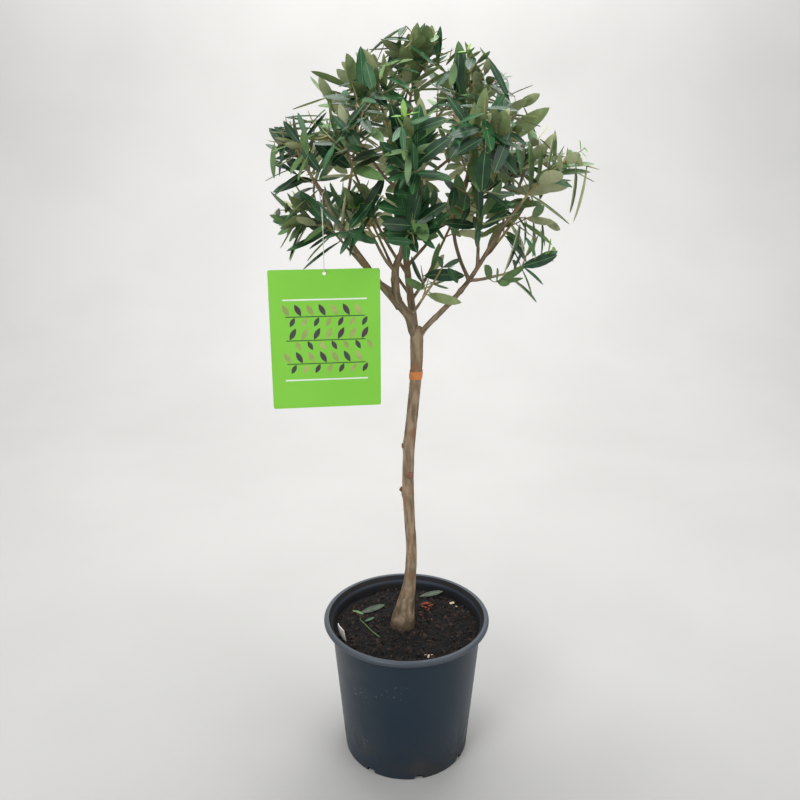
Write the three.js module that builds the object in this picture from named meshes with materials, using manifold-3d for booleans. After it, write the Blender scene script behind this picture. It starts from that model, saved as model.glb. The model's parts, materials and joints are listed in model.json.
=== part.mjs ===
// A young olive tree grown as a small standard: one slim stem, a round open crown and a plastic nursery pot.
// Millimetres, +Z up. The origin is the centre of the pot's flat underside, +X is to the right of the front
// view and +Y is to the back.
import * as THREE from "three";
import { mergeVertices } from "three/addons/utils/BufferGeometryUtils.js";
import Module from "manifold-3d";

const wasm = await Module();
wasm.setup();

// Clearance between neighbours that meet
const GAP = 0.3;
const UP = new THREE.Vector3(0, 0, 1);
// Corners closer than this are one corner
const MERGE = 1e-4;
// A tube that starts with more of its direction than this along X has its corners counted from Y
const LEVEL = 0.9;

// Nursery pot: a tapered wall with a rolled lip, a flat floor and drain notches round the foot
const POT = {
  height: 250,
  lipRadius: 140,
  lipHeight: 9,
  wallTopRadius: 127,
  wallFootRadius: 107,
  wall: 3,
  floor: 3,
  sides: 40,
  // Bevel round the foot, and the shoulder where the inner wall narrows below the lip
  footBevel: 2,
  shoulder: { top: 14, foot: 18, width: 1.5 },
};
// Section of the lip: distance in from its outer radius and down from the pot's top
const LIP_SECTION = [
  [1.5, 9],
  [0, 7],
  [1, 2.5],
  [4.5, 0],
  [8, 1.5],
];
const NOTCH = { count: 8, width: 15, height: 9, depth: 9, firstTurn: -79 };
const SOIL_LEVEL = 226;
const SOIL_SIDES = 40;
// How much further than a gap the soil stays inside the flat sides of the wall
const SOIL_ROOM = 0.9;

// Trunk stations from the flat foot to the fork: x, y, z and radius
const TRUNK_FOOT = SOIL_LEVEL + GAP;
const TRUNK = [
  [-5, 1, TRUNK_FOOT, 22],
  [-4, 1, 244, 19.5],
  [0, 2, 276, 14],
  [6, 3, 318, 9.8],
  [8, 3, 372, 8.8],
  [5, 3, 426, 8.8],
  [2, 2, 490, 9.4],
  [4, 1, 560, 9.2],
  [9, 0, 616, 9],
  [14, 0, 680, 9.2],
  [14.5, 0, 726, 10.2],
  [14.5, 0, 745, 9.4],
];
const TRUNK_SIDES = 12;
const TRUNK_STEPS = 22;
// The foot swells into three low root shoulders, which fade out above it
const FLARE = { lobes: 3, depth: 0.1, fadeHeight: 60, turn: 200 };
// Stubs of pruned side shoots: height on the trunk, turn about it, length past the bark, radius and rise
const STUBS = [
  { height: 471, turn: 172, length: 5, radius: 4.2, rise: 0.5 },
  { height: 507, turn: 285, length: 2.5, radius: 5.5, rise: 0.2 },
  { height: 555, turn: 190, length: 3, radius: 4.6, rise: 0.1 },
  { height: 612, turn: 60, length: 3, radius: 4.4, rise: 0.3 },
];
const STUB_FORM = { root: 0.3, taper: 0.7, sides: 6 };
// A band of orange tape round the upper trunk
const BAND = { height: 673, width: 14, thickness: 0.9 };

// Main limbs, each from its parent at a share of the parent's length, through the points to its tip
const LIMBS = [
  {
    name: "bough_left",
    parent: "trunk",
    at: 0.985,
    sink: [-3, -2, -12],
    through: [
      [3, -6, 764],
      [-14, -14, 790],
      [-18, -26, 826],
      [-14, -33, 852],
      [9, -50, 895],
      [19, -64, 932],
      [17, -86, 966],
    ],
    radii: [8, 2.8],
  },
  {
    name: "bough_centre",
    parent: "trunk",
    at: 0.985,
    sink: [-2, 4, -10],
    through: [
      [8, 13, 768],
      [4, 16, 800],
      [-2, 17, 850],
      [-7, 14, 915],
      [-8, 10, 985],
      [2, 6, 1062],
    ],
    radii: [6.8, 2.8],
  },
  {
    name: "bough_right",
    parent: "trunk",
    at: 0.985,
    sink: [3, -1, -12],
    through: [
      [28, -7, 749],
      [51, -20, 776],
      [71, -30, 800],
      [90, -40, 827],
      [106, -51, 856],
      [126, -63, 894],
      [156, -67, 936],
    ],
    radii: [4.6, 2.4],
  },
  {
    name: "bough_far_left",
    parent: "bough_left",
    at: 0.26,
    sink: [0, 0, -3],
    through: [
      [-44, -30, 823],
      [-61, -45, 850],
      [-82, -60, 882],
      [-97, -71, 908],
      [-112, -80, 942],
      [-127, -88, 968],
    ],
    radii: [5.2, 2.6],
  },
  {
    name: "bough_right_inner",
    parent: "bough_right",
    at: 0.56,
    sink: [0, 0, 0],
    through: [
      [74, -37, 858],
      [66, -35, 892],
      [70, -31, 925],
      [82, -28, 955],
      [88, -34, 994],
      [86, -38, 1034],
    ],
    radii: [2.7, 1.9],
  },
  {
    name: "bough_right_low",
    parent: "bough_right",
    at: 0.56,
    sink: [0, 0, 0],
    through: [
      [104, -52, 828],
      [124, -66, 835],
    ],
    radii: [2.4, 1.9],
  },
];

// Masses of foliage. Each keeps to the space round its centre, out to its reach. It grows from the tip of
// the limb named as tipOf, or from a side bough that leaves the limb named as from at a share of its length.
const MASSES = [
  { name: "left", tipOf: "bough_far_left", centre: [-126, -80, 988], reach: 70, seed: 11 },
  { name: "low_left", from: "bough_left", at: 0.34, centre: [-128, -50, 912], reach: 66, seed: 12 },
  { name: "upper_left", from: "bough_centre", at: 0.74, centre: [-99, -14, 1049], reach: 64, seed: 13 },
  { name: "front_left", from: "bough_far_left", at: 0.62, centre: [-68, -114, 1002], reach: 66, seed: 14 },
  { name: "inner_left", from: "bough_left", at: 0.48, centre: [-72, -88, 930], reach: 60, seed: 15 },
  { name: "front", tipOf: "bough_left", centre: [6, -112, 1000], reach: 70, seed: 16 },
  { name: "front_low", from: "bough_left", at: 0.56, centre: [0, -94, 922], reach: 60, seed: 17 },
  { name: "front_right", from: "bough_right_inner", at: 0.56, centre: [86, -106, 1012], reach: 68, seed: 18 },
  { name: "low_front_right", from: "bough_right", at: 0.66, centre: [96, -84, 934], reach: 58, seed: 35 },
  { name: "right", tipOf: "bough_right", centre: [190, -72, 955], reach: 72, seed: 19 },
  { name: "far_right", from: "bough_centre", at: 0.56, centre: [166, 4, 980], reach: 68, seed: 40 },
  { name: "upper_right", from: "bough_centre", at: 0.76, centre: [130, 2, 1042], reach: 63, seed: 21 },
  { name: "low_right", tipOf: "bough_right_low", centre: [152, -84, 860], reach: 54, seed: 22 },
  { name: "right_low", from: "bough_right", at: 0.74, centre: [160, -22, 908], reach: 62, seed: 34 },
  { name: "top", tipOf: "bough_centre", centre: [9, -10, 1100], reach: 70, seed: 23 },
  { name: "top_left", from: "bough_centre", at: 0.84, centre: [-44, -58, 1072], reach: 64, seed: 24 },
  { name: "top_right", tipOf: "bough_right_inner", centre: [80, -46, 1074], reach: 64, seed: 25 },
  { name: "under", from: "bough_left", at: 0.15, centre: [44, -36, 824], reach: 52, seed: 26 },
  { name: "back_left", from: "bough_centre", at: 0.42, centre: [-92, 74, 990], reach: 70, seed: 27 },
  { name: "back", from: "bough_centre", at: 0.6, centre: [8, 122, 996], reach: 72, seed: 28 },
  { name: "back_right", from: "bough_centre", at: 0.46, centre: [112, 90, 990], reach: 72, seed: 29 },
  { name: "low_back_left", from: "bough_centre", at: 0.3, centre: [-64, 62, 910], reach: 62, seed: 30 },
  { name: "low_back_right", from: "bough_centre", at: 0.26, centre: [76, 60, 906], reach: 54, seed: 31 },
  { name: "top_back_left", from: "bough_centre", at: 0.86, centre: [-50, 62, 1072], reach: 66, seed: 32 },
  { name: "top_back_right", from: "bough_centre", at: 0.88, centre: [74, 66, 1074], reach: 66, seed: 33 },
];
// A limb this thick at its start has more sides
const LIMB_FORM = { thick: 6, thickSides: 8, sides: 6, extraSteps: 3 };
const SIDE_BOUGH = { startRadius: 2.6, tipRadius: 1.9, entry: 0.9, droop: 0.07, steps: 5 };

// Growth: a stem bears pairs of leaves or twigs at its nodes, each pair a quarter turn from the last.
// Distances are in millimetres, spreads and angles in degrees, and the rest are shares.
const STEM = { share: 1.35, node: 16, radius: 2, tipRadius: 1.3, lift: 0.1, wander: 0.22 };
const TWIG = { share: 0.6, node: 17, radius: 1.15, tipRadius: 0.9, lift: 0, wander: 0 };
const TWIG_SIDES = 3;
// Distance from a node back to where its leaves and twigs start
const NODE_BACK = 1.5;
const FORK = { chance: 0.52, spread: 52, vary: 16, shortest: 0.8, further: 0.4 };
const LEAF = {
  length: 62,
  vary: 0.2,
  slender: 0.34,
  thickness: 1.6,
  widest: 0.48,
  spread: 66,
  endSpread: 14,
  angle: 26,
  rise: 0.7,
  sunk: 0.3,
  droop: 0.12,
  room: 12,
  // The stalk end, which may lie closer to others, as a share of the length and its thickness there
  stalk: 0.3,
  stalkRoom: 2,
};
const RETRY = { tries: 8, shorter: 0.06, turn: 12 };
// Leaves turn their upper faces away from the middle of the crown and up to the light
const LIGHT = { from: [25, 0, 920], outward: 0.9, up: 0.4, along: 0.3, scatter: 1.1 };
const CELL_MARGIN = 1.1;
const LIMB_MARGIN = 0.8;
// Faces flatter to each other than this are joined
const SMOOTHED = 0.02;

// Plant tag: a card that hangs by a thread over the far left bough
const TAG = {
  width: 156,
  height: 200,
  thickness: 0.8,
  corner: 3,
  top: 847,
  holeDrop: 6,
  holeRadius: 2.5,
  yaw: 8,
  room: 9,
};
const TAG_PROBES = 5;
const THREAD = {
  radius: 0.55,
  bough: "bough_far_left",
  at: 0.88,
  ahead: 0.03,
  ring: 3.4,
  ringSegments: 12,
  knotDrop: 46,
  bead: 3,
  slack: 0.5,
  sides: 5,
  room: 3,
  // Turns about the bough at which the loop is bent
  loopTurns: [205, 160, 125, 90, 55, 20, -25],
};

// Blank plant label pushed into the soil at the pot's left wall
const LABEL = { width: 26, height: 44, thickness: 0.9, sunk: 22, x: -106, y: -34, lean: -10, yaw: 118 };

// Colour and roughness of each finish
const COLOURS = {
  bark: ["#8b7a63", 0.85],
  leaf: ["#35553a", 0.55],
  pot: ["#2b333b", 0.5],
  soil: ["#2c2522", 0.95],
  tape: ["#cf7a3f", 0.6],
  tag: ["#76c32f", 0.45],
  thread: ["#e8e8e4", 0.7],
  label: ["#eceae4", 0.5],
};

const part = new THREE.Group();

const vector = (p) => new THREE.Vector3(p[0], p[1], p[2]);
const radians = THREE.MathUtils.degToRad;

// Repeatable numbers from 0 to 1
function stream(seed) {
  let state = Math.imul(seed, 2654435761) >>> 0;
  const next = () => {
    state = (Math.imul(state, 1664525) + 1013904223) >>> 0;
    return state / 4294967296;
  };
  next();
  next();
  return next;
}

// A closed solid of a geometry's triangles
function toSolid(geometry) {
  geometry.deleteAttribute("normal");
  geometry.deleteAttribute("uv");
  const merged = mergeVertices(geometry, MERGE);
  return new wasm.Manifold(
    new wasm.Mesh({
      numProp: 3,
      vertProperties: merged.attributes.position.array,
      triVerts: new Uint32Array(merged.index.array),
    }),
  );
}

// The largest body of a solid: what a cut leaves loose is dropped
function largest(solid) {
  const bodies = solid.decompose();
  return bodies.reduce((best, body) => (body.volume() > best.volume() ? body : best));
}

// Adds a solid to the part under its own name
function addMesh(name, solid, finish) {
  const made = solid.getMesh();
  const stride = made.numProp;
  const position = new Float32Array(made.numVert * 3);
  for (let i = 0; i < made.numVert; i++) {
    position.set(made.vertProperties.subarray(i * stride, i * stride + 3), i * 3);
  }
  const geometry = new THREE.BufferGeometry();
  geometry.setAttribute("position", new THREE.BufferAttribute(position, 3));
  geometry.setIndex(new THREE.BufferAttribute(made.triVerts, 1));
  const [color, roughness] = COLOURS[finish];
  const material = new THREE.MeshStandardMaterial({ color, roughness, metalness: 0 });
  const mesh = new THREE.Mesh(geometry, material);
  mesh.name = name;
  part.add(mesh);
}

// A closed tube through points, with a radius at each. swell(turn, point) scales the radius round the tube.
function tube(points, radii, sides, swell = () => 1) {
  const last = points.length - 1;
  const position = [];
  const index = [];
  let across = null;
  points.forEach((point, k) => {
    const along = points[Math.min(k + 1, last)].clone().sub(points[Math.max(k - 1, 0)]).normalize();
    const level = Math.abs(along.x) > LEVEL;
    across = across ?? new THREE.Vector3(level ? 0 : 1, level ? 1 : 0, 0);
    across = across.clone().addScaledVector(along, -along.dot(across)).normalize();
    const other = along.clone().cross(across);
    for (let s = 0; s < sides; s++) {
      const turn = (2 * Math.PI * s) / sides;
      const radius = radii[k] * swell(turn, point);
      const corner = point
        .clone()
        .addScaledVector(across, radius * Math.cos(turn))
        .addScaledVector(other, radius * Math.sin(turn));
      position.push(corner.x, corner.y, corner.z);
    }
  });
  const ends = [points[0], points[last]];
  ends.forEach((end) => position.push(end.x, end.y, end.z));
  const startCap = points.length * sides;
  for (let s = 0; s < sides; s++) {
    const n = (s + 1) % sides;
    index.push(startCap, n, s, startCap + 1, last * sides + s, last * sides + n);
    for (let k = 0; k < last; k++) {
      const [a, b, c, d] = [k * sides + s, k * sides + n, (k + 1) * sides + n, (k + 1) * sides + s];
      index.push(a, b, c, a, c, d);
    }
  }
  const geometry = new THREE.BufferGeometry();
  geometry.setAttribute("position", new THREE.BufferAttribute(new Float32Array(position), 3));
  geometry.setIndex(index);
  return toSolid(geometry);
}

// Limbs: each has a curve, a radius at each end or station, and a line of points that foliage stays clear of
const limbs = new Map();
const LINE_STEPS = 16;

function addLimb(name, points, radiusAt, steps, sides, swell) {
  const curve = new THREE.CatmullRomCurve3(points, false, "catmullrom");
  const stations = Array.from({ length: steps + 1 }, (_, k) => curve.getPoint(k / steps));
  const radii = stations.map((_, k) => radiusAt(k / steps));
  const line = Array.from({ length: LINE_STEPS + 1 }, (_, k) => ({
    point: curve.getPoint(k / LINE_STEPS),
    radius: radiusAt(k / LINE_STEPS),
  }));
  const inflated = radii.map((radius) => radius + GAP / Math.cos(Math.PI / sides));
  const limb = {
    name,
    curve,
    radiusAt,
    stations,
    line,
    solid: tube(stations, radii, sides, swell),
    kept: tube(stations, inflated, sides, swell),
  };
  // A younger limb is cut clear of every older one
  for (const elder of limbs.values()) {
    limb.solid = largest(limb.solid.subtract(elder.kept));
  }
  limbs.set(name, limb);
  return limb;
}

// The trunk's radius at a share of its length
function trunkRadius(t) {
  const along = t * (TRUNK.length - 1);
  const k = Math.min(Math.floor(along), TRUNK.length - 2);
  return THREE.MathUtils.lerp(TRUNK[k][3], TRUNK[k + 1][3], along - k);
}

// How far the foot swells at a turn and a height
function flareSwell(turn, point) {
  const fade = THREE.MathUtils.clamp(1 - (point.z - TRUNK_FOOT) / FLARE.fadeHeight, 0, 1);
  return 1 + FLARE.depth * fade * Math.cos(FLARE.lobes * turn + radians(FLARE.turn));
}

function growTrunk() {
  const points = TRUNK.map(vector);
  const trunk = addLimb("trunk", points, trunkRadius, TRUNK_STEPS, TRUNK_SIDES, flareSwell);
  // The foot is cut flat at the soil
  trunk.solid = trunk.solid.trimByPlane([0, 0, 1], TRUNK_FOOT);
  for (const stub of STUBS) {
    const share = (stub.height - TRUNK_FOOT) / (TRUNK.at(-1)[2] - TRUNK_FOOT);
    const nearest = trunk.stations.reduce((a, b) =>
      Math.abs(b.z - stub.height) < Math.abs(a.z - stub.height) ? b : a,
    );
    const turn = radians(stub.turn);
    const outward = new THREE.Vector3(Math.cos(turn), Math.sin(turn), stub.rise).normalize();
    const bark = trunkRadius(share);
    const root = nearest.clone().addScaledVector(outward, bark * STUB_FORM.root);
    const end = nearest.clone().addScaledVector(outward, bark + stub.length);
    const radii = [stub.radius, stub.radius * STUB_FORM.taper];
    trunk.solid = trunk.solid.add(tube([root, end], radii, STUB_FORM.sides));
  }
}

function growMainLimbs() {
  for (const { name, parent, at, sink, through, radii } of LIMBS) {
    const start = limbs.get(parent).curve.getPoint(at).add(vector(sink));
    const points = [start, ...through.map(vector)];
    const radiusAt = (t) => THREE.MathUtils.lerp(radii[0], radii[1], t);
    const sides = radii[0] > LIMB_FORM.thick ? LIMB_FORM.thickSides : LIMB_FORM.sides;
    addLimb(name, points, radiusAt, through.length + LIMB_FORM.extraSteps, sides);
  }
}

// A side bough leaves its parent, dips a little and rises into its mass
function growSideBoughs() {
  for (const mass of MASSES) {
    if (mass.tipOf) continue;
    const start = limbs.get(mass.from).curve.getPoint(mass.at);
    const centre = vector(mass.centre);
    const inward = start.clone().sub(centre).normalize();
    let entry = SIDE_BOUGH.entry * mass.reach;
    while (!inSpace([centre.clone().addScaledVector(inward, entry + GAP)], mass)) entry -= 1;
    const tip = centre.clone().addScaledVector(inward, entry);
    const middle = start.clone().lerp(tip, 0.5);
    middle.z -= SIDE_BOUGH.droop * start.distanceTo(tip);
    const radiusAt = (t) => THREE.MathUtils.lerp(SIDE_BOUGH.startRadius, SIDE_BOUGH.tipRadius, t);
    mass.tipOf = "bough_to_" + mass.name;
    addLimb(mass.tipOf, [start, middle, tip], radiusAt, SIDE_BOUGH.steps, LIMB_FORM.sides);
  }
}

// The shortest distance between two straight pieces, p to q and r to s
function pieceGap(p, q, r, s) {
  const along = q.clone().sub(p);
  const beside = s.clone().sub(r);
  const apart = p.clone().sub(r);
  const [a, b, c] = [along.dot(along), along.dot(beside), along.dot(apart)];
  const [e, f] = [beside.dot(beside), beside.dot(apart)];
  const clamp = (x) => Math.min(Math.max(x, 0), 1);
  const square = a * e - b * b;
  let u = square > 1e-9 ? clamp((b * f - c * e) / square) : 0;
  let v = (b * u + f) / e;
  if (v < 0 || v > 1) {
    v = clamp(v);
    u = clamp((b * v - c) / a);
  }
  return p.clone().addScaledVector(along, u).distanceTo(r.clone().addScaledVector(beside, v));
}

// Where the tag and its thread hang
function tagFrame() {
  const support = limbs.get(THREAD.bough).curve.getPoint(THREAD.at);
  const yaw = radians(TAG.yaw);
  return {
    support,
    across: new THREE.Vector3(Math.cos(yaw), Math.sin(yaw), 0),
    facing: new THREE.Vector3(Math.sin(yaw), -Math.cos(yaw), 0),
  };
}

// True if the point is in the room that the tag keeps
function nearTag(point, tag) {
  const offset = point.clone().sub(tag.support);
  return (
    point.z < TAG.top + TAG.room &&
    Math.abs(offset.dot(tag.facing)) < TAG.room &&
    Math.abs(offset.dot(tag.across)) < TAG.width / 2 + TAG.room
  );
}

// True if every point is inside the mass's own space
function inSpace(points, mass) {
  const centre = vector(mass.centre);
  return points.every(
    (point) =>
      point.distanceTo(centre) <= mass.reach &&
      MASSES.every((other) => {
        if (other === mass) return true;
        const away = vector(other.centre).sub(centre);
        const half = away.length() / 2;
        return point.clone().sub(centre).dot(away.normalize()) <= half - CELL_MARGIN;
      }),
  );
}

// True if a straight piece keeps clear of the tag, its thread and every limb but the excepted one
function clearOfLimbs(from, to, thickness, tag, except) {
  const threadTop = tag.support.clone();
  const threadFoot = new THREE.Vector3(threadTop.x, threadTop.y, TAG.top - TAG.holeDrop);
  if (pieceGap(from, to, threadFoot, threadTop) < THREAD.radius + thickness + THREAD.room) return false;
  for (let k = 0; k <= TAG_PROBES; k++) {
    if (nearTag(from.clone().lerp(to, k / TAG_PROBES), tag)) return false;
  }
  for (const limb of limbs.values()) {
    if (limb.name === except) continue;
    for (let k = 0; k < LINE_STEPS; k++) {
      const [a, b] = [limb.line[k], limb.line[k + 1]];
      const room = a.radius + thickness + LIMB_MARGIN;
      if (pieceGap(from, to, a.point, b.point) < room) return false;
    }
  }
  return true;
}

// Eight faces: a root point sunk in the twig, a pointed tip and a cross section at the widest part
function leafSolid(leaf) {
  const middle = leaf.root.clone().lerp(leaf.tip, LEAF.widest);
  const corners = [
    leaf.root,
    leaf.tip,
    middle.clone().addScaledVector(leaf.normal, LEAF.thickness / 2),
    middle.clone().addScaledVector(leaf.normal, -LEAF.thickness / 2),
    middle.clone().addScaledVector(leaf.side, leaf.width / 2),
    middle.clone().addScaledVector(leaf.side, -leaf.width / 2),
  ];
  const geometry = new THREE.BufferGeometry().setFromPoints(corners);
  geometry.setIndex([0, 4, 2, 0, 2, 5, 0, 3, 4, 0, 5, 3, 1, 2, 4, 1, 5, 2, 1, 4, 3, 1, 3, 5]);
  return toSolid(geometry);
}

// Grows one mass: returns its twigs, as points with radii, and its leaves
function growMass(mass, tag) {
  const random = stream(mass.seed);
  const jitter = () => random() - 0.5;
  const twigs = [];
  const leaves = [];

  // Tries a few turns for a leaf and keeps the one with the most room, or none if all leave the space
  function addLeaf(point, direction, side, spread) {
    let best = null;
    for (let turn = 0; turn < RETRY.tries; turn++) {
      const angle = radians(spread + (LEAF.angle + RETRY.turn * turn) * jitter());
      const axis = direction.clone().multiplyScalar(Math.cos(angle)).addScaledVector(side, Math.sin(angle));
      axis.z += LEAF.rise * jitter() - LEAF.droop;
      axis.normalize();
      const length = LEAF.length * (1 + 2 * LEAF.vary * jitter() - RETRY.shorter * turn);
      const facing = point.clone().sub(vector(LIGHT.from)).normalize().multiplyScalar(LIGHT.outward);
      facing.addScaledVector(UP, LIGHT.up).addScaledVector(direction, LIGHT.along);
      facing.add(new THREE.Vector3(jitter(), jitter(), jitter()).multiplyScalar(LIGHT.scatter));
      facing.addScaledVector(axis, -facing.dot(axis)).normalize();
      const root = point.clone().addScaledVector(axis, -LEAF.sunk);
      const tip = point.clone().addScaledVector(axis, length);
      const width = length * LEAF.slender;
      const across = axis.clone().cross(facing);
      const middle = root.clone().lerp(tip, LEAF.widest);
      const edges = [-0.5, 0.5].map((share) => middle.clone().addScaledVector(across, share * width));
      const outer = root.clone().lerp(tip, LEAF.stalk);
      const gaps = leaves.map((leaf) => pieceGap(outer, tip, leaf.outer, leaf.tip));
      const room = Math.min(LEAF.length, ...gaps);
      if (room <= (best?.room ?? LEAF.room) || !inSpace([root, tip, ...edges], mass)) continue;
      if (!clearOfLimbs(outer, tip, width / 2, tag)) continue;
      if (!clearOfLimbs(point, outer, LEAF.stalkRoom, tag)) continue;
      best = { root, tip, outer, normal: facing, side: across, width, room };
    }
    if (best) leaves.push(best);
  }

  // Grows a stem or twig node by node until it would leave the space
  function addTwig(start, direction, side, length, kind, rise, own) {
    const count = Math.max(1, Math.round(length / kind.node));
    const points = [start];
    const nodes = [];
    let along = direction;
    let across = side;
    for (let k = 1; k <= count; k++) {
      const previous = points[k - 1];
      const next = previous.clone().addScaledVector(along, length / count);
      if (!inSpace([next], mass) || !clearOfLimbs(previous, next, kind.radius, tag, own)) break;
      points.push(next);
      across = across.clone().cross(along);
      across.addScaledVector(along, -across.dot(along)).normalize();
      nodes.push({ point: next.clone().addScaledVector(along, -NODE_BACK), along, across });
      const wander = new THREE.Vector3(jitter(), jitter(), jitter()).multiplyScalar(kind.wander);
      along = along.clone().add(wander).addScaledVector(rise, kind.lift).normalize();
    }
    if (!nodes.length) return false;
    const path = kind.wander ? points : [points[0], points.at(-1)];
    const radiusAt = (share) => THREE.MathUtils.lerp(kind.radius, kind.tipRadius, share);
    const radii = path.map((_, k) => radiusAt(k / (path.length - 1)));
    twigs.push({ points: path, radii });
    nodes.forEach((node, k) => {
      for (const sign of [1, -1]) {
        const outward = node.across.clone().multiplyScalar(sign);
        if (kind === STEM && k < nodes.length - 1 && random() < FORK.chance) {
          const spread = radians(FORK.spread + FORK.vary * jitter());
          const away = node.along.clone().multiplyScalar(Math.cos(spread));
          away.addScaledVector(outward, Math.sin(spread)).normalize();
          const twigLength = length * TWIG.share * (FORK.shortest + FORK.further * random());
          if (addTwig(node.point, away, node.along, twigLength, TWIG, UP)) continue;
        }
        addLeaf(node.point, node.along, outward, LEAF.spread);
      }
    });
    const end = nodes.at(-1);
    addLeaf(end.point, end.along, end.across.clone().cross(end.along), LEAF.endSpread);
    return true;
  }

  const bough = limbs.get(mass.tipOf);
  const [before, tip] = bough.stations.slice(-2);
  const direction = tip.clone().sub(before).normalize();
  const start = tip.clone().addScaledVector(direction, GAP);
  const towards = vector(mass.centre).sub(tip).normalize();
  const side = direction.clone().cross(UP).normalize();
  addTwig(start, direction, side, mass.reach * STEM.share, STEM, towards.multiplyScalar(2), mass.tipOf);
  return { twigs, leaves };
}

// The twigs and leaves of a mass as one solid
function foliage(mass, tag) {
  const { twigs, leaves } = growMass(mass, tag);
  const wood = twigs.map(({ points, radii }) => tube(points, radii, TWIG_SIDES));
  const solids = [...wood, ...leaves.map(leafSolid)];
  return largest(wasm.Manifold.union(solids).asOriginal().simplify(SMOOTHED));
}

// A turned pot with the drain notches cut through its foot
function pot() {
  const { height, lipRadius, lipHeight, wallTopRadius, wallFootRadius, wall, floor, sides } = POT;
  const { footBevel, shoulder } = POT;
  const inner = wallTopRadius - wall;
  const profile = [
    [0, 0],
    [wallFootRadius - footBevel, 0],
    [wallFootRadius, footBevel],
    [wallTopRadius, height - lipHeight],
    ...LIP_SECTION.map(([inward, down]) => [lipRadius - inward, height - down]),
    [inner + shoulder.width, height - shoulder.top],
    [inner, height - shoulder.foot],
    [wallFootRadius - wall, floor],
    [0, floor],
  ];
  const turned = new THREE.LatheGeometry(profile.map(([r, z]) => new THREE.Vector2(r, z)), sides);
  turned.rotateX(Math.PI / 2);
  let solid = toSolid(turned);
  if (solid.volume() < 0) throw new Error("the pot's profile runs the wrong way");
  for (let k = 0; k < NOTCH.count; k++) {
    const cutter = new THREE.BoxGeometry(2 * NOTCH.depth, NOTCH.width, 2 * NOTCH.height);
    cutter.translate(wallFootRadius, 0, 0);
    cutter.rotateZ(radians(NOTCH.firstTurn + (360 * k) / NOTCH.count));
    solid = solid.subtract(toSolid(cutter));
  }
  return solid;
}

// The plate of the plant label, larger by extra on every side
function labelSolid(extra) {
  const { width, height, thickness, sunk, x, y, lean, yaw } = LABEL;
  const plate = new THREE.BoxGeometry(width + 2 * extra, thickness + 2 * extra, height + 2 * extra);
  plate.translate(0, 0, height / 2 - sunk);
  plate.rotateX(radians(lean));
  plate.rotateZ(radians(yaw));
  plate.translate(x, y, SOIL_LEVEL);
  return toSolid(plate);
}

// Potting soil fills the pot, 0.3 mm clear of its wall and floor, with a slot for the label
function soil() {
  const { wallTopRadius, wallFootRadius, wall, floor, height, lipHeight } = POT;
  const slope = (wallTopRadius - wallFootRadius) / (height - lipHeight);
  const room = wall + GAP + SOIL_ROOM;
  const foot = floor + GAP;
  const profile = [
    [0, foot],
    [wallFootRadius - room, foot],
    [wallFootRadius + slope * SOIL_LEVEL - room, SOIL_LEVEL],
    [0, SOIL_LEVEL],
  ];
  const turned = new THREE.LatheGeometry(profile.map(([r, z]) => new THREE.Vector2(r, z)), SOIL_SIDES);
  turned.rotateX(Math.PI / 2);
  return largest(toSolid(turned).subtract(labelSolid(GAP)));
}

// A ring of tape: a straight tube between the two trunk stations that it lies between, hollowed by the trunk
function band() {
  const trunk = limbs.get("trunk");
  const low = BAND.height - BAND.width / 2;
  const above = TRUNK.findIndex(([, , z]) => z > BAND.height);
  const [x0, y0, z0] = TRUNK[above - 1];
  const [x1, , z1, trunkRadiusAbove] = TRUNK[above];
  const steps = [0, 0.5, 1].map((share) => {
    const z = low + BAND.width * share;
    return new THREE.Vector3(THREE.MathUtils.mapLinear(z, z0, z1, x0, x1), y0, z);
  });
  const radius = trunkRadiusAbove + GAP + BAND.thickness;
  const ring = tube(steps, steps.map(() => radius), TRUNK_SIDES);
  return largest(ring.subtract(trunk.kept));
}

// The card of the tag, with rounded corners and a hole
function tagCard(tag) {
  const { width, height, thickness, corner, top, holeDrop, holeRadius } = TAG;
  const half = width / 2;
  const outline = new THREE.Shape();
  outline.moveTo(-half + corner, -height);
  outline.lineTo(half - corner, -height);
  outline.absarc(half - corner, -height + corner, corner, -Math.PI / 2, 0, false);
  outline.absarc(half - corner, -corner, corner, 0, Math.PI / 2, false);
  outline.absarc(-half + corner, -corner, corner, Math.PI / 2, Math.PI, false);
  outline.absarc(-half + corner, -height + corner, corner, Math.PI, 1.5 * Math.PI, false);
  const hole = new THREE.Path();
  hole.absarc(0, -holeDrop, holeRadius, 0, 2 * Math.PI, true);
  outline.holes.push(hole);
  const plate = { depth: thickness, bevelEnabled: false, curveSegments: 4 };
  const card = new THREE.ExtrudeGeometry(outline, plate);
  card.translate(0, 0, -thickness / 2);
  card.rotateX(Math.PI / 2);
  card.rotateZ(radians(TAG.yaw));
  card.translate(tag.support.x, tag.support.y, top);
  return toSolid(card);
}

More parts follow.
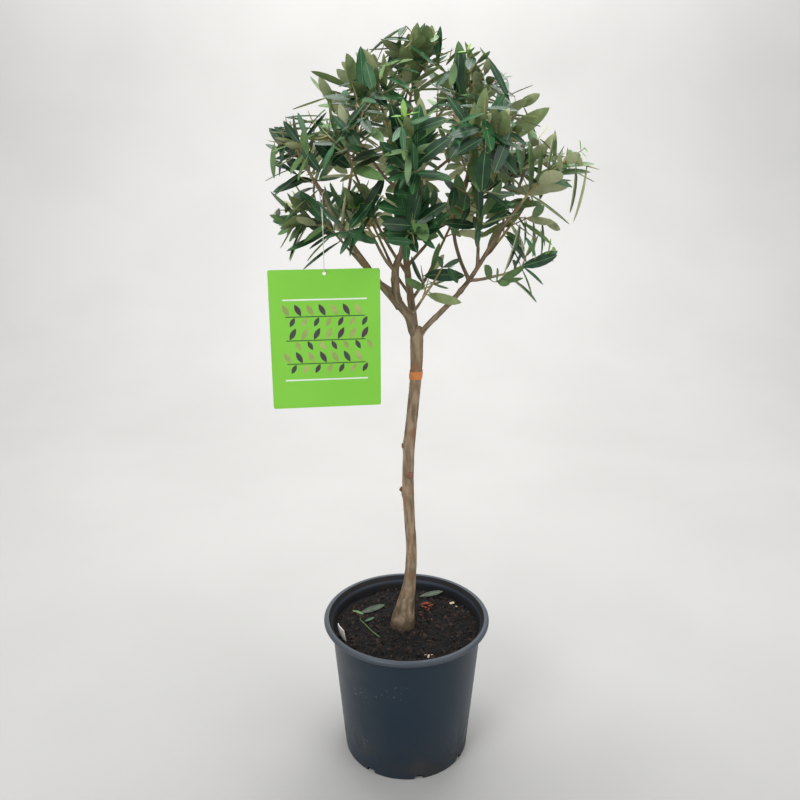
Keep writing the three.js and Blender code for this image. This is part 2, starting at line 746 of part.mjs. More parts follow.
// A thread: a ring through the card's hole, one strand up to a knot, and a loop over the bough
function tagThread(tag) {
  const { radius, knotDrop, sides } = THREAD;
  const bough = limbs.get(THREAD.bough);
  const loopRadius = bough.radiusAt(THREAD.at) + GAP + radius + THREAD.slack;
  const ahead = bough.curve.getPoint(THREAD.at + THREAD.ahead).sub(tag.support);
  const across = new THREE.Vector3(ahead.y, -ahead.x, 0).normalize();
  // The ring's lowest strand bears on the hole's upper edge
  const restHeight = TAG.top - TAG.holeDrop + TAG.holeRadius * Math.cos(Math.PI / 8) - GAP - radius;
  const ring = new THREE.TorusGeometry(THREAD.ring, radius, sides, THREAD.ringSegments);
  ring.rotateY(Math.PI / 2);
  ring.rotateZ(radians(TAG.yaw));
  ring.translate(tag.support.x, tag.support.y, restHeight + THREAD.ring);
  const knot = tag.support.clone();
  knot.z -= knotDrop;
  const ringTop = new THREE.Vector3(tag.support.x, tag.support.y, restHeight + 2 * THREAD.ring);
  const strand = tube([ringTop, knot], [radius, radius], sides);
  const tilt = across.clone().cross(ahead).normalize();
  const arc = THREAD.loopTurns.map((turn) =>
    tag.support
      .clone()
      .addScaledVector(across, loopRadius * Math.cos(radians(turn)))
      .addScaledVector(tilt, loopRadius * Math.sin(radians(turn))),
  );
  const loop = tube([knot, ...arc, knot], Array(arc.length + 2).fill(radius), sides);
  const bead = new THREE.IcosahedronGeometry(THREAD.bead * radius);
  bead.translate(knot.x, knot.y, knot.z);
  return wasm.Manifold.union([toSolid(ring), strand, loop, toSolid(bead)]);
}

growTrunk();
growMainLimbs();
growSideBoughs();
const tag = tagFrame();

addMesh("pot", pot(), "pot");
addMesh("soil", soil(), "soil");
for (const limb of limbs.values()) {
  addMesh(limb.name, limb.solid, "bark");
}
for (const mass of MASSES) {
  addMesh("foliage_" + mass.name, foliage(mass, tag), "leaf");
}
addMesh("trunk_band", band(), "tape");
addMesh("tag_card", tagCard(tag), "tag");
addMesh("tag_thread", tagThread(tag), "thread");
addMesh("pot_label", labelSolid(0), "label");

export default part;
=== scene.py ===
"""Looks of a young potted olive tree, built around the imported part.

The plant grows here by the part's own seeded rule, and is then carried on to finer shoots and more leaves
within the same reach. The growth rule works in millimetres, as the part's drawing does. Meshes are in metres.
"""

import json
import logging
import math
from collections.abc import Callable, Iterable, Sequence
from dataclasses import dataclass, field
from enum import Enum
from functools import cache, reduce

import bmesh
import bpy
import numpy as np
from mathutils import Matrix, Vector, noise

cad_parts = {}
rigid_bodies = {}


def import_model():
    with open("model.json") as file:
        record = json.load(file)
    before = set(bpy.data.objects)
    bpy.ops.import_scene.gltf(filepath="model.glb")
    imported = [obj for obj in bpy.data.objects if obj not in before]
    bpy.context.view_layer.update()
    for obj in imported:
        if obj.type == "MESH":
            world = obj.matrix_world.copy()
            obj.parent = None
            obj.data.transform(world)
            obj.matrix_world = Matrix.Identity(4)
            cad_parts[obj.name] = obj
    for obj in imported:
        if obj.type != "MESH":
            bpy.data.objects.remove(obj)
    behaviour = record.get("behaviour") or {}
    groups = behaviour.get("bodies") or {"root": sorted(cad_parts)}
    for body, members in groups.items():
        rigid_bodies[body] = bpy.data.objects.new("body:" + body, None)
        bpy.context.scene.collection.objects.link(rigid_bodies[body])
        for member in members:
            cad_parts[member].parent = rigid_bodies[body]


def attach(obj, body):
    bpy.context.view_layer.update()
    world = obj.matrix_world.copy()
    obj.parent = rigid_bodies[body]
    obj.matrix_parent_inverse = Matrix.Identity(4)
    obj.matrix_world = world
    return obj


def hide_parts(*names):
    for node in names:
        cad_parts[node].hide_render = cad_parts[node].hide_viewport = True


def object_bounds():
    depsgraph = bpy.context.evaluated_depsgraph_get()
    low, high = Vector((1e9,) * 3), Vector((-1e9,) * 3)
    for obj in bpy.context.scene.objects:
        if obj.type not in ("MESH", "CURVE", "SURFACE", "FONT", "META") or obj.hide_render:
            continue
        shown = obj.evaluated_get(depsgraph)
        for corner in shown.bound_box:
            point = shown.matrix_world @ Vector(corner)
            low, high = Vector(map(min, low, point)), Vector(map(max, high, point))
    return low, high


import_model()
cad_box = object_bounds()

log = logging.getLogger("olive_tree")

MM = 0.001
GAP = 0.3
UP = np.array([0.0, 0.0, 1.0])

Point = np.ndarray
Colour = tuple[float, float, float, float]
# Points and radii of a limb, in millimetres
Line = tuple[Sequence[Point], Sequence[float]]


class Slot(Enum):
    """Material slots that the part's record names."""

    BARK = "bark"
    LEAF = "leaf"
    POT = "pot"
    SOIL = "soil"
    TAPE = "tape"
    TAG = "tag"
    THREAD = "thread"
    LABEL = "label"


class Tone(Enum):
    """Plain leaf colours, dealt out by spray. The value is the place in the list of leaf finishes."""

    DEEP = 0
    MID = 1
    OLIVE = 2
    YOUNG = 3
    PALE_UNDER = 4
    OLIVE_UNDER = 5
    FALLEN = 6
    RIB = 7


def unit(v: Point) -> Point:
    """Returns a vector at length one."""
    return v / np.linalg.norm(v)


def level(turn: float) -> Point:
    """Returns the level direction at a turn in radians."""
    return np.array([math.cos(turn), math.sin(turn), 0])


def lerp(a: Point | float, b: Point | float, share: float) -> Point | float:
    """Returns the value at a share of the way from a to b."""
    return a + (b - a) * share


def colour(code: str) -> Colour:
    """Turns a colour as seen, such as #2b333b, into the linear values that a shader takes.

    Args:
        code: Six hexadecimal digits after a hash sign.

    Returns:
        Red, green, blue and an alpha of one.
    """
    seen = [int(code[k : k + 2], 16) / 255 for k in (1, 3, 5)]
    linear = [c / 12.92 if c <= 0.04045 else ((c + 0.055) / 1.055) ** 2.4 for c in seen]
    return (*linear, 1.0)


class Stream:
    """Repeatable numbers from 0 to 1."""

    def __init__(self, seed: int) -> None:
        """Starts the stream at a seed.

        Args:
            seed: A whole number.
        """
        self.state = (seed * 2654435761) & 0xFFFFFFFF
        self.draw()
        self.draw()

    def draw(self) -> float:
        """Returns the next number from 0 to 1."""
        self.state = (self.state * 1664525 + 1013904223) & 0xFFFFFFFF
        return self.state / 4294967296

    def jitter(self) -> float:
        """Returns the next number from -0.5 to 0.5."""
        return self.draw() - 0.5

    def scatter(self) -> Point:
        """Returns a vector of three jitters."""
        return np.array([self.jitter(), self.jitter(), self.jitter()])


@dataclass(frozen=True)
class Curve:
    """A smooth curve through points.

    Attributes:
        points: The points, one a row.
    """

    points: Point

    def at(self, share: float) -> Point:
        """Returns the point at a share of the curve's parameter, from 0 to 1.

        Args:
            share: The share.

        Returns:
            The point.
        """
        last = len(self.points) - 1
        k = min(int(share * last), last - 1)
        weight = share * last - k
        p1, p2 = self.points[k], self.points[k + 1]
        p0 = self.points[k - 1] if k > 0 else 2 * p1 - p2
        p3 = self.points[k + 2] if k + 2 <= last else 2 * p2 - p1
        t0 = 0.5 * (p2 - p0)
        t1 = 0.5 * (p3 - p1)
        square = (-3 * p1 + 3 * p2 - 2 * t0 - t1) * weight**2
        return p1 + t0 * weight + square + (2 * p1 - 2 * p2 + t0 + t1) * weight**3

    def length(self, steps: int) -> float:
        """Returns the curve's length, measured in a number of straight steps."""
        return sum(np.linalg.norm(self.at((k + 1) / steps) - self.at(k / steps)) for k in range(steps))


@dataclass(frozen=True)
class TrunkForm:
    """The trunk from its flat foot to the fork.

    Attributes:
        stations: x, y, z and radius at each station.
        lobes: Root shoulders round the foot.
        depth: Depth of the shoulders as a share of the radius.
        fade: Height over which the shoulders fade out.
        turn: Turn of the first shoulder, in degrees.
    """

    stations: tuple[tuple[float, ...], ...] = (
        (-5, 1, 226.3, 22), (-4, 1, 244, 19.5), (0, 2, 276, 14), (6, 3, 318, 9.8), (8, 3, 372, 8.8),
        (5, 3, 426, 8.8), (2, 2, 490, 9.4), (4, 1, 560, 9.2), (9, 0, 616, 9), (14, 0, 680, 9.2),
        (14.5, 0, 726, 10.2), (14.5, 0, 745, 9.4),
    )
    lobes: int = 3
    depth: float = 0.1
    fade: float = 60
    turn: float = 200

    def curve(self) -> Curve:
        """Returns the trunk's middle line."""
        return Curve(np.array([station[:3] for station in self.stations], float))

    def radius(self, share: float) -> float:
        """Returns the radius at a share of the trunk's parameter.

        Args:
            share: The share, from 0 to 1.

        Returns:
            The radius.
        """
        along = share * (len(self.stations) - 1)
        k = min(int(along), len(self.stations) - 2)
        return lerp(self.stations[k][3], self.stations[k + 1][3], along - k)

    def swell(self, turn: float, height: float) -> float:
        """Returns the factor on the radius at a turn about the foot, in radians, and a height."""
        fade = min(max(1 - (height - self.stations[0][2]) / self.fade, 0), 1)
        return 1 + self.depth * fade * math.cos(self.lobes * turn + math.radians(self.turn))


TRUNK = TrunkForm()


@dataclass(frozen=True)
class Bough:
    """A main limb as drawn.

    Attributes:
        name: The limb's node.
        parent: The limb that it leaves.
        at: Where it leaves, as a share of the parent.
        sink: From the parent's middle line to its own start.
        through: The points it runs through, up to its tip.
        radii: Radius at the start and at the tip.
    """

    name: str
    parent: str
    at: float
    sink: tuple[float, float, float]
    through: tuple[tuple[float, float, float], ...]
    radii: tuple[float, float]


BOUGHS = (
    Bough("bough_left", "trunk", 0.985, (-3, -2, -12),
          ((3, -6, 764), (-14, -14, 790), (-18, -26, 826), (-14, -33, 852), (9, -50, 895),
           (19, -64, 932), (17, -86, 966)), (8, 2.8)),
    Bough("bough_centre", "trunk", 0.985, (-2, 4, -10),
          ((8, 13, 768), (4, 16, 800), (-2, 17, 850), (-7, 14, 915), (-8, 10, 985), (2, 6, 1062)),
          (6.8, 2.8)),
    Bough("bough_right", "trunk", 0.985, (3, -1, -12),
          ((28, -7, 749), (51, -20, 776), (71, -30, 800), (90, -40, 827), (106, -51, 856),
           (126, -63, 894), (156, -67, 936)), (4.6, 2.4)),
    Bough("bough_far_left", "bough_left", 0.26, (0, 0, -3),
          ((-44, -30, 823), (-61, -45, 850), (-82, -60, 882), (-97, -71, 908), (-112, -80, 942),
           (-127, -88, 968)), (5.2, 2.6)),
    Bough("bough_right_inner", "bough_right", 0.56, (0, 0, 0),
          ((74, -37, 858), (66, -35, 892), (70, -31, 925), (82, -28, 955), (88, -34, 994),
           (86, -38, 1034)), (2.7, 1.9)),
    Bough("bough_right_low", "bough_right", 0.56, (0, 0, 0), ((104, -52, 828), (124, -66, 835)), (2.4, 1.9)),
)


@dataclass
class Mass:
    """A mass of foliage, which keeps to the space round its centre.

    Attributes:
        name: The mass's name, after foliage_ in its node.
        source: The limb it grows from.
        at: Where its side bough leaves that limb, or None where it grows from the limb's own tip.
        centre: The middle of its space.
        reach: How far it may reach from there.
        seed: Seed of its growth.
        fill: Share of the places between its pairs of leaves that fill with finer growth.
        young: True where its leading shoot ends in young leaves.
        tip_of: The limb whose tip carries its stem.
    """

    name: str
    source: str
    at: float | None
    centre: tuple[float, float, float]
    reach: float
    seed: int
    fill: float = 0.5
    young: bool = False
    tip_of: str = field(init=False)

    def __post_init__(self) -> None:
        """Names the limb that carries the mass."""
        self.tip_of = self.source if self.at is None else "bough_to_" + self.name


MASSES = (
    Mass("left", "bough_far_left", None, (-126, -80, 988), 70, 11, 0.8),
    Mass("low_left", "bough_left", 0.34, (-128, -50, 912), 66, 12, 0.6),
    Mass("upper_left", "bough_centre", 0.74, (-99, -14, 1049), 64, 13, 0.3),
    Mass("front_left", "bough_far_left", 0.62, (-68, -114, 1002), 66, 14, 0.95),
    Mass("inner_left", "bough_left", 0.48, (-72, -88, 930), 60, 15, 0.9, young=True),
    Mass("front", "bough_left", None, (6, -112, 1000), 70, 16, 0.95, young=True),
    Mass("front_low", "bough_left", 0.56, (0, -94, 922), 60, 17, 0.9),
    Mass("front_right", "bough_right_inner", 0.56, (86, -106, 1012), 68, 18, 0.95),
    Mass("low_front_right", "bough_right", 0.66, (96, -84, 934), 58, 35),
    Mass("right", "bough_right", None, (190, -72, 955), 72, 19, 0.4, young=True),
    Mass("far_right", "bough_centre", 0.56, (166, 4, 980), 68, 40, 0.8),
    Mass("upper_right", "bough_centre", 0.76, (130, 2, 1042), 63, 21, 0.35),
    Mass("low_right", "bough_right_low", None, (152, -84, 860), 54, 22, 0.1, young=True),
    Mass("right_low", "bough_right", 0.74, (160, -22, 908), 62, 34),
    Mass("top", "bough_centre", None, (9, -10, 1100), 70, 23, 0.9, young=True),
    Mass("top_left", "bough_centre", 0.84, (-44, -58, 1072), 64, 24, 0.9),
    Mass("top_right", "bough_right_inner", None, (80, -46, 1074), 64, 25, 0.8, young=True),
    Mass("under", "bough_left", 0.15, (44, -36, 824), 52, 26, 0.15),
    Mass("back_left", "bough_centre", 0.42, (-92, 74, 990), 70, 27, 0.7),
    Mass("back", "bough_centre", 0.6, (8, 122, 996), 72, 28, 0.7, young=True),
    Mass("back_right", "bough_centre", 0.46, (112, 90, 990), 72, 29, 0.7),
    Mass("low_back_left", "bough_centre", 0.3, (-64, 62, 910), 62, 30),
    Mass("low_back_right", "bough_centre", 0.26, (76, 60, 906), 54, 31, 0.1, young=True),
    Mass("top_back_left", "bough_centre", 0.86, (-50, 62, 1072), 66, 32),
    Mass("top_back_right", "bough_centre", 0.88, (74, 66, 1074), 66, 33),
)


@dataclass(frozen=True)
class TwigKind:
    """One order of twig.

    Attributes:
        share: Length as a share of its mass's reach or of its parent twig.
        node: Distance from one pair of leaves to the next.
        radius: Radius at the foot.
        tip_radius: Radius at the tip.
        lift: How far each step turns towards the light.
        wander: How far each step turns at random.
        forks: True where side twigs may take a leaf's place.
        leaf: Length of its leaves against the drawn leaf.
        room: Least distance from one of its leaves to the next leaf.
        spread: Angle of its leaves to the twig.
    """

    share: float
    node: float
    radius: float
    tip_radius: float
    lift: float
    wander: float
    forks: bool = False
    leaf: float = 1.0
    room: float = 12.0
    spread: float = 66


STEM = TwigKind(1.35, 16, 2, 1.3, 0.1, 0.22, forks=True)
TWIG = TwigKind(0.6, 17, 1.15, 0.9, 0, 0)
# Finer shoots than the part's solids carry
SHOOT = TwigKind(0.3, 12, 0.85, 0.45, 0.16, 0.3, leaf=0.95, room=4, spread=50)
TUFT = TwigKind(0.3, 7, 0.7, 0.45, 0.2, 0.2, leaf=0.42, room=2.5, spread=56)


@dataclass(frozen=True)
class GrowthRule:
    """Sizes and angles of the growth, in millimetres and degrees."""

    line_steps: int = 16
    entry: float = 0.9
    droop: float = 0.07
    side_radii: tuple[float, float] = (2.6, 1.9)
    side_steps: int = 5
    fork_chance: float = 0.52
    fork_spread: float = 52
    fork_vary: float = 16
    leaf_length: float = 62
    leaf_vary: float = 0.2
    leaf_slender: float = 0.34
    leaf_widest: float = 0.48
    leaf_angle: float = 26
    leaf_rise: float = 0.7
    leaf_sunk: float = 0.3
    leaf_droop: float = 0.12
    tries: int = 8
    shorter: float = 0.06
    turn: float = 12
    end_spread: float = 14
    node_back: float = 1.5
    outer: float = 0.3
    stalk_room: float = 2
    light: tuple[float, float, float] = (25, 0, 920)
    outward: float = 0.9
    up: float = 0.4
    along: float = 0.3
    scatter: float = 1.1
    cell_margin: float = 1.1
    limb_margin: float = 0.8


RULE = GrowthRule()


@dataclass(frozen=True)
class TagForm:
    """The plant tag and its thread, in millimetres and degrees."""

    width: float = 156
    height: float = 200
    thickness: float = 0.8
    corner: float = 3
    top: float = 847
    hole_drop: float = 6
    hole_radius: float = 2.5
    yaw: float = 8
    room: float = 9
    thread_radius: float = 0.55
    bough: str = "bough_far_left"
    at: float = 0.88
    ring: float = 3.4
    knot_drop: float = 46
    thread_room: float = 3

    @property
    def across(self) -> Point:
        """The direction along the card's width."""
        return level(math.radians(self.yaw))

    @property
    def facing(self) -> Point:
        """The direction out of the card's printed face."""
        return np.array([math.sin(math.radians(self.yaw)), -math.cos(math.radians(self.yaw)), 0])


TAG = TagForm()


@dataclass
class Limb:
    """A limb of the tree.

    Attributes:
        name: The limb's node.
        curve: Its middle line.
        radius: Radius at a share of the line's parameter.
        steps: Straight steps that the part's solid has along it.
    """

    name: str
    curve: Curve
    radius: Callable[[float], float]
    steps: int

    def tip(self) -> tuple[Point, Point]:
        """Returns the tip and the direction in which the limb ends."""
        tip = self.curve.at(1)
        return tip, unit(tip - self.curve.at(1 - 1 / self.steps))


@dataclass
class Leaf:
    """A leaf's place.

    Attributes:
        root: Where it leaves the twig.
        tip: Its point.
        outer: The end of its stalk, from where its room is measured.
        facing: The direction that its upper face looks in.
        spray: Number of the spray that it belongs to.
        young: True for a leaf that has just opened.
    """

    root: Point
    tip: Point
    outer: Point
    facing: Point
    spray: int
    young: bool = False


@dataclass
class Node:
    """A node of a twig: its point and the directions along it and across it."""

    point: Point
    along: Point
    across: Point


def piece_gaps(start: Point, end: Point, starts: Point, ends: Point) -> Point:
    """Measures the shortest distances from one straight piece to several others.

    Args:
        start: Start of the piece.
        end: Its end.
        starts: Start of each other piece, one a row.
        ends: Its end.

    Returns:
        One distance for each of the other pieces.
    """
    along = end - start
    beside = ends - starts
    apart = start - starts
    a = along @ along
    b = beside @ along
    c = apart @ along
    e = np.einsum("ij,ij->i", beside, beside)
    f = np.einsum("ij,ij->i", beside, apart)
    square = a * e - b * b
    safe = np.where(square > 1e-9, square, 1)
    u = np.where(square > 1e-9, np.clip((b * f - c * e) / safe, 0, 1), 0)
    v = (b * u + f) / e
    outside = (v < 0) | (v > 1)
    v = np.clip(v, 0, 1)
    u = np.where(outside, np.clip((b * v - c) / a, 0, 1), u)
    nearest = start + np.outer(u, along) - starts - beside * v[:, None]
    return np.sqrt(np.einsum("ij,ij->i", nearest, nearest))


class Tree:
    """The limbs of the tree and the growth on them."""

    def __init__(self) -> None:
        """Grows the trunk, the main boughs and the side boughs."""
        self.limbs: dict[str, Limb] = {}
        self.sprays = 0
        self.add_limb("trunk", TRUNK.curve(), TRUNK.radius, 22)
        for bough in BOUGHS:
            start = self.limbs[bough.parent].curve.at(bough.at) + np.array(bough.sink)
            curve = Curve(np.array([start, *bough.through], float))
            self.add_limb(bough.name, curve, self.taper(bough.radii), len(bough.through) + 3)
        for mass in MASSES:
            if mass.at is not None:
                self.add_side_bough(mass)
        self.support = self.limbs[TAG.bough].curve.at(TAG.at)
        self.measure_limbs()

    @staticmethod
    def taper(radii: tuple[float, float]) -> Callable[[float], float]:
        """Returns an even taper between two radii."""
        return lambda share: lerp(radii[0], radii[1], share)

    def add_limb(self, name: str, curve: Curve, radius: Callable[[float], float], steps: int) -> None:
        """Keeps a limb under its name."""
        self.limbs[name] = Limb(name, curve, radius, steps)

    def add_side_bough(self, mass: Mass) -> None:
        """Runs a side bough from its limb, with a little dip, into its mass.

        Args:
            mass: The mass that it carries.
        """
        start = self.limbs[mass.source].curve.at(mass.at)
        centre = np.array(mass.centre, float)
        inward = unit(start - centre)
        entry = RULE.entry * mass.reach
        while not self.in_space([centre + inward * (entry + GAP)], mass):
            entry -= 1
        tip = centre + inward * entry
        middle = lerp(start, tip, 0.5)
        middle[2] -= RULE.droop * np.linalg.norm(start - tip)
        curve = Curve(np.array([start, middle, tip]))
        self.add_limb(mass.tip_of, curve, self.taper(RULE.side_radii), RULE.side_steps)

    def measure_limbs(self) -> None:
        """Cuts every limb into straight pieces, which the foliage keeps clear of."""
        shares = [k / RULE.line_steps for k in range(RULE.line_steps + 1)]
        limbs = list(self.limbs.values())
        self.starts = np.array([limb.curve.at(share) for limb in limbs for share in shares[:-1]])
        self.ends = np.array([limb.curve.at(share) for limb in limbs for share in shares[1:]])
        self.radii = np.array([limb.radius(share) for limb in limbs for share in shares[:-1]])
        self.owners = np.array([limb.name for limb in limbs for _ in shares[:-1]])
        foot = np.array([*self.support[:2], TAG.top - TAG.hole_drop])
        self.thread = (np.array([foot]), np.array([self.support]))

    @staticmethod
    def in_space(points: Sequence[Point], mass: Mass) -> bool:
        """Tells whether every point is in a mass's own space, its ball cut midway to each other mass.

        Args:
            points: The points.
            mass: The mass.

        Returns:
            True where all of them are.
        """
        centre = np.array(mass.centre, float)
        offsets = np.array(points) - centre
        if np.max(np.einsum("ij,ij->i", offsets, offsets)) > mass.reach**2:
            return False
        away = np.array([other.centre for other in MASSES if other is not mass], float) - centre
        far = np.linalg.norm(away, axis=1)
        along = offsets @ (away / far[:, None]).T
        return bool(np.all(along <= far / 2 - RULE.cell_margin))

    def near_tag(self, points: Point) -> bool:
        """Tells whether any of the points is in the room that the tag keeps.

        Args:
            points: The points, one a row.

        Returns:
            True where one of them is.
        """
        offset = points - self.support
        low = points[:, 2] < TAG.top + TAG.room
        close = np.abs(offset @ TAG.facing) < TAG.room
        beside = np.abs(offset @ TAG.across) < TAG.width / 2 + TAG.room
        return bool(np.any(low & close & beside))

    def clear_of_limbs(self, start: Point, end: Point, thickness: float, own: str = "") -> bool:
        """Tells whether a straight piece keeps clear of the tag, its thread and every limb but its own.

        Args:
            start: Start of the piece.
            end: Its end.
            thickness: Its radius.
            own: The limb that it may touch.

        Returns:
            True where nothing is nearer than the room that each keeps.
        """
        if piece_gaps(start, end, *self.thread)[0] < TAG.thread_radius + thickness + TAG.thread_room:
            return False
        if self.near_tag(np.array([lerp(start, end, k / 5) for k in range(6)])):
            return False
        room = self.radii + thickness + RULE.limb_margin
        tight = piece_gaps(start, end, self.starts, self.ends) < room
        return not bool(np.any(tight & (self.owners != own)))


class Growth:
    """What grows in one mass: its twigs and leaves."""

    def __init__(self, tree: Tree, mass: Mass) -> None:
        """Grows the mass as the part does, then carries it on to finer shoots.

        Args:
            tree: The limbs, which the growth keeps clear of.
            mass: The mass.
        """
        self.tree = tree
        self.mass = mass
        self.twigs: list[Line] = []
        self.leaves: list[Leaf] = []
        self.nodes: list[Node] = []
        self.spray = 0
        self.young = False
        self.random = Stream(mass.seed)
        tip, direction = tree.limbs[mass.tip_of].tip()
        towards = unit(np.array(mass.centre, float) - tip)
        side = unit(np.cross(direction, UP))
        start = tip + direction * GAP
        self.add_twig(start, direction, side, mass.reach * STEM.share, STEM, towards * 2, mass.tip_of)
        self.add_finer_growth()

    def add_leaf(self, node: Node, side: Point, spread: float, kind: TwigKind) -> None:
        """Tries a few turns for a leaf and keeps the one with the most room, if one fits.

        Args:
            node: The node that it grows at.
            side: The direction that it leans to.
            spread: Its angle to the twig, in degrees.
            kind: The order of twig that bears it.
        """
        best = None
        random = self.random
        for turn in range(RULE.tries):
            angle = math.radians(spread + (RULE.leaf_angle + RULE.turn * turn) * random.jitter())
            axis = node.along * math.cos(angle) + side * math.sin(angle)
            axis[2] += RULE.leaf_rise * random.jitter() - RULE.leaf_droop
            axis = unit(axis)
            vary = 1 + 2 * RULE.leaf_vary * random.jitter() - RULE.shorter * turn
            length = RULE.leaf_length * vary * kind.leaf
            facing = unit(node.point - np.array(RULE.light)) * RULE.outward
            facing = facing + UP * RULE.up + node.along * RULE.along + random.scatter() * RULE.scatter
            facing = unit(facing - axis * (facing @ axis))
            root = node.point - axis * RULE.leaf_sunk
            tip = node.point + axis * length
            width = length * RULE.leaf_slender
            across = np.cross(axis, facing)
            middle = lerp(root, tip, RULE.leaf_widest)
            outer = lerp(root, tip, RULE.outer)
            room = RULE.leaf_length
            if self.leaves:
                outers = np.array([leaf.outer for leaf in self.leaves])
                tips = np.array([leaf.tip for leaf in self.leaves])
                room = min(room, piece_gaps(outer, tip, outers, tips).min())
            edges = [middle - across * width / 2, middle + across * width / 2]
            least = best[0] if best else kind.room
            if room <= least or not self.tree.in_space([root, tip, *edges], self.mass):
                continue
            clear = self.tree.clear_of_limbs
            if not (clear(outer, tip, width / 2) and clear(node.point, outer, RULE.stalk_room)):
                continue
            best = (room, Leaf(root, tip, outer, facing, self.spray, self.young))
        if best:
            self.leaves.append(best[1])

    def add_twig(self, start: Point, direction: Point, side: Point, length: float, kind: TwigKind,
                 rise: Point, own: str = "") -> bool:
        """Grows a twig node by node until it would leave the space, then its leaves and side twigs.

        Args:
            start: Where it starts.
            direction: Where it first points.
            side: A direction across it.
            length: Its length.
            kind: Its order.
            rise: The direction that its steps turn to.
            own: The limb that it grows from.

        Returns:
            False where not even its first step fits.
        """
        random = self.random
        count = max(1, math.floor(length / kind.node + 0.5))
        points = [start]
        nodes: list[Node] = []
        along, across = direction, side
        for _ in range(count):
            previous = points[-1]
            following = previous + along * (length / count)
            fits = self.tree.in_space([following], self.mass)
            if not fits or not self.tree.clear_of_limbs(previous, following, kind.radius, own):
                break
            points.append(following)
            across = np.cross(across, along)
            across = unit(across - along * (across @ along))
            nodes.append(Node(following - along * RULE.node_back, along, across))
            wander = random.scatter() * kind.wander
            along = unit(along + wander + rise * kind.lift)
        if not nodes:
            return False
        spray = self.start_spray(points, kind)
        for k, node in enumerate(nodes):
            for sign in (1, -1):
                outward = node.across * sign
                if kind.forks and k < len(nodes) - 1 and random.draw() < RULE.fork_chance:
                    spread = math.radians(RULE.fork_spread + RULE.fork_vary * random.jitter())
                    away = unit(node.along * math.cos(spread) + outward * math.sin(spread))
                    twig_length = length * TWIG.share * (0.8 + 0.4 * random.draw())
                    if self.add_twig(node.point, away, node.along, twig_length, TWIG, UP):
                        self.spray = spray
                        continue
                self.add_leaf(node, outward, kind.spread, kind)
        end = nodes[-1]
        self.add_leaf(end, np.cross(end.across, end.along), RULE.end_spread, kind)
        self.nodes.extend(nodes)
        return True

    def start_spray(self, points: list[Point], kind: TwigKind) -> int:
        """Keeps a twig's line and starts its own spray.

        Args:
            points: The points along the twig.
            kind: Its order.

        Returns:
            The number of the spray.
        """
        path = points if kind.wander else [points[0], points[-1]]
        radii = [lerp(kind.radius, kind.tip_radius, k / (len(path) - 1)) for k in range(len(path))]
        self.tree.sprays += 1
        self.spray = self.tree.sprays
        self.twigs.append((path, radii))
        return self.spray

    def add_finer_growth(self) -> None:
        """Adds short shoots and further leaves between the pairs, and tufts of young leaves at some tips."""
        self.random = Stream(self.mass.seed + FINER.seed)
        solid_nodes = list(self.nodes)
        for node in solid_nodes:
            for sign in (1, -1):
                outward = np.cross(node.across, node.along) * sign
                chance = self.random.draw()
                if chance < self.mass.fill * FINER.shoot_share:
                    spread = math.radians(RULE.fork_spread + RULE.fork_vary * self.random.jitter())
                    away = unit(node.along * math.cos(spread) + outward * math.sin(spread))
                    length = FINER.shoot_length * (0.7 + 0.6 * self.random.draw())
                    self.add_twig(node.point, away, node.along, length, SHOOT, UP)
                elif chance < self.mass.fill:
                    self.add_leaf(node, outward, SHOOT.spread, SHOOT)
        self.add_side_shoots(self.tree.limbs[self.mass.tip_of])
        if self.mass.young:
            tip = solid_nodes[-1]
            self.young = True
            self.add_twig(tip.point, tip.along, tip.across, FINER.tuft_length, TUFT, UP)
            self.young = False

    def add_side_shoots(self, limb: Limb) -> None:
        """Adds shoots along the last part of the bough, as far as it already runs in the mass.

        Args:
            limb: The bough.
        """
        length = limb.curve.length(RULE.line_steps)
        for number in range(1, FINER.side_shoots + 1):
            share = 1 - number * FINER.side_step / length
            point = limb.curve.at(share)
            along = unit(limb.curve.at(share + 0.02) - point)
            turn = 2 * math.pi * self.random.draw()
            beside = unit(np.cross(along, UP))
            outward = beside * math.cos(turn) + np.cross(beside, along) * math.sin(turn)
            start = point + outward * limb.radius(share)
            if self.tree.in_space([start], self.mass):
                spread = math.radians(RULE.fork_spread)
                away = unit(along * math.cos(spread) + outward * math.sin(spread))
                self.add_twig(start, away, along, FINER.side_length, SHOOT, UP, limb.name)


@dataclass(frozen=True)
class FinerGrowth:
    """How the growth goes on past the part's solids.

    Attributes:
        seed: Added to each mass's own seed.
        shoot_share: Share of the filled places that bear a short shoot and not one leaf.
        shoot_length: Length of a short shoot.
        tuft_length: Length of a young tip.
        side_shoots: Greatest number of shoots on the bough itself.
        side_step: Distance from one of them to the next.
        side_length: Length of each.
    """

    seed: int = 500
    shoot_share: float = 0.36
    shoot_length: float = 24
    tuft_length: float = 20
    side_shoots: int = 7
    side_step: float = 9
    side_length: float = 40


FINER = FinerGrowth()


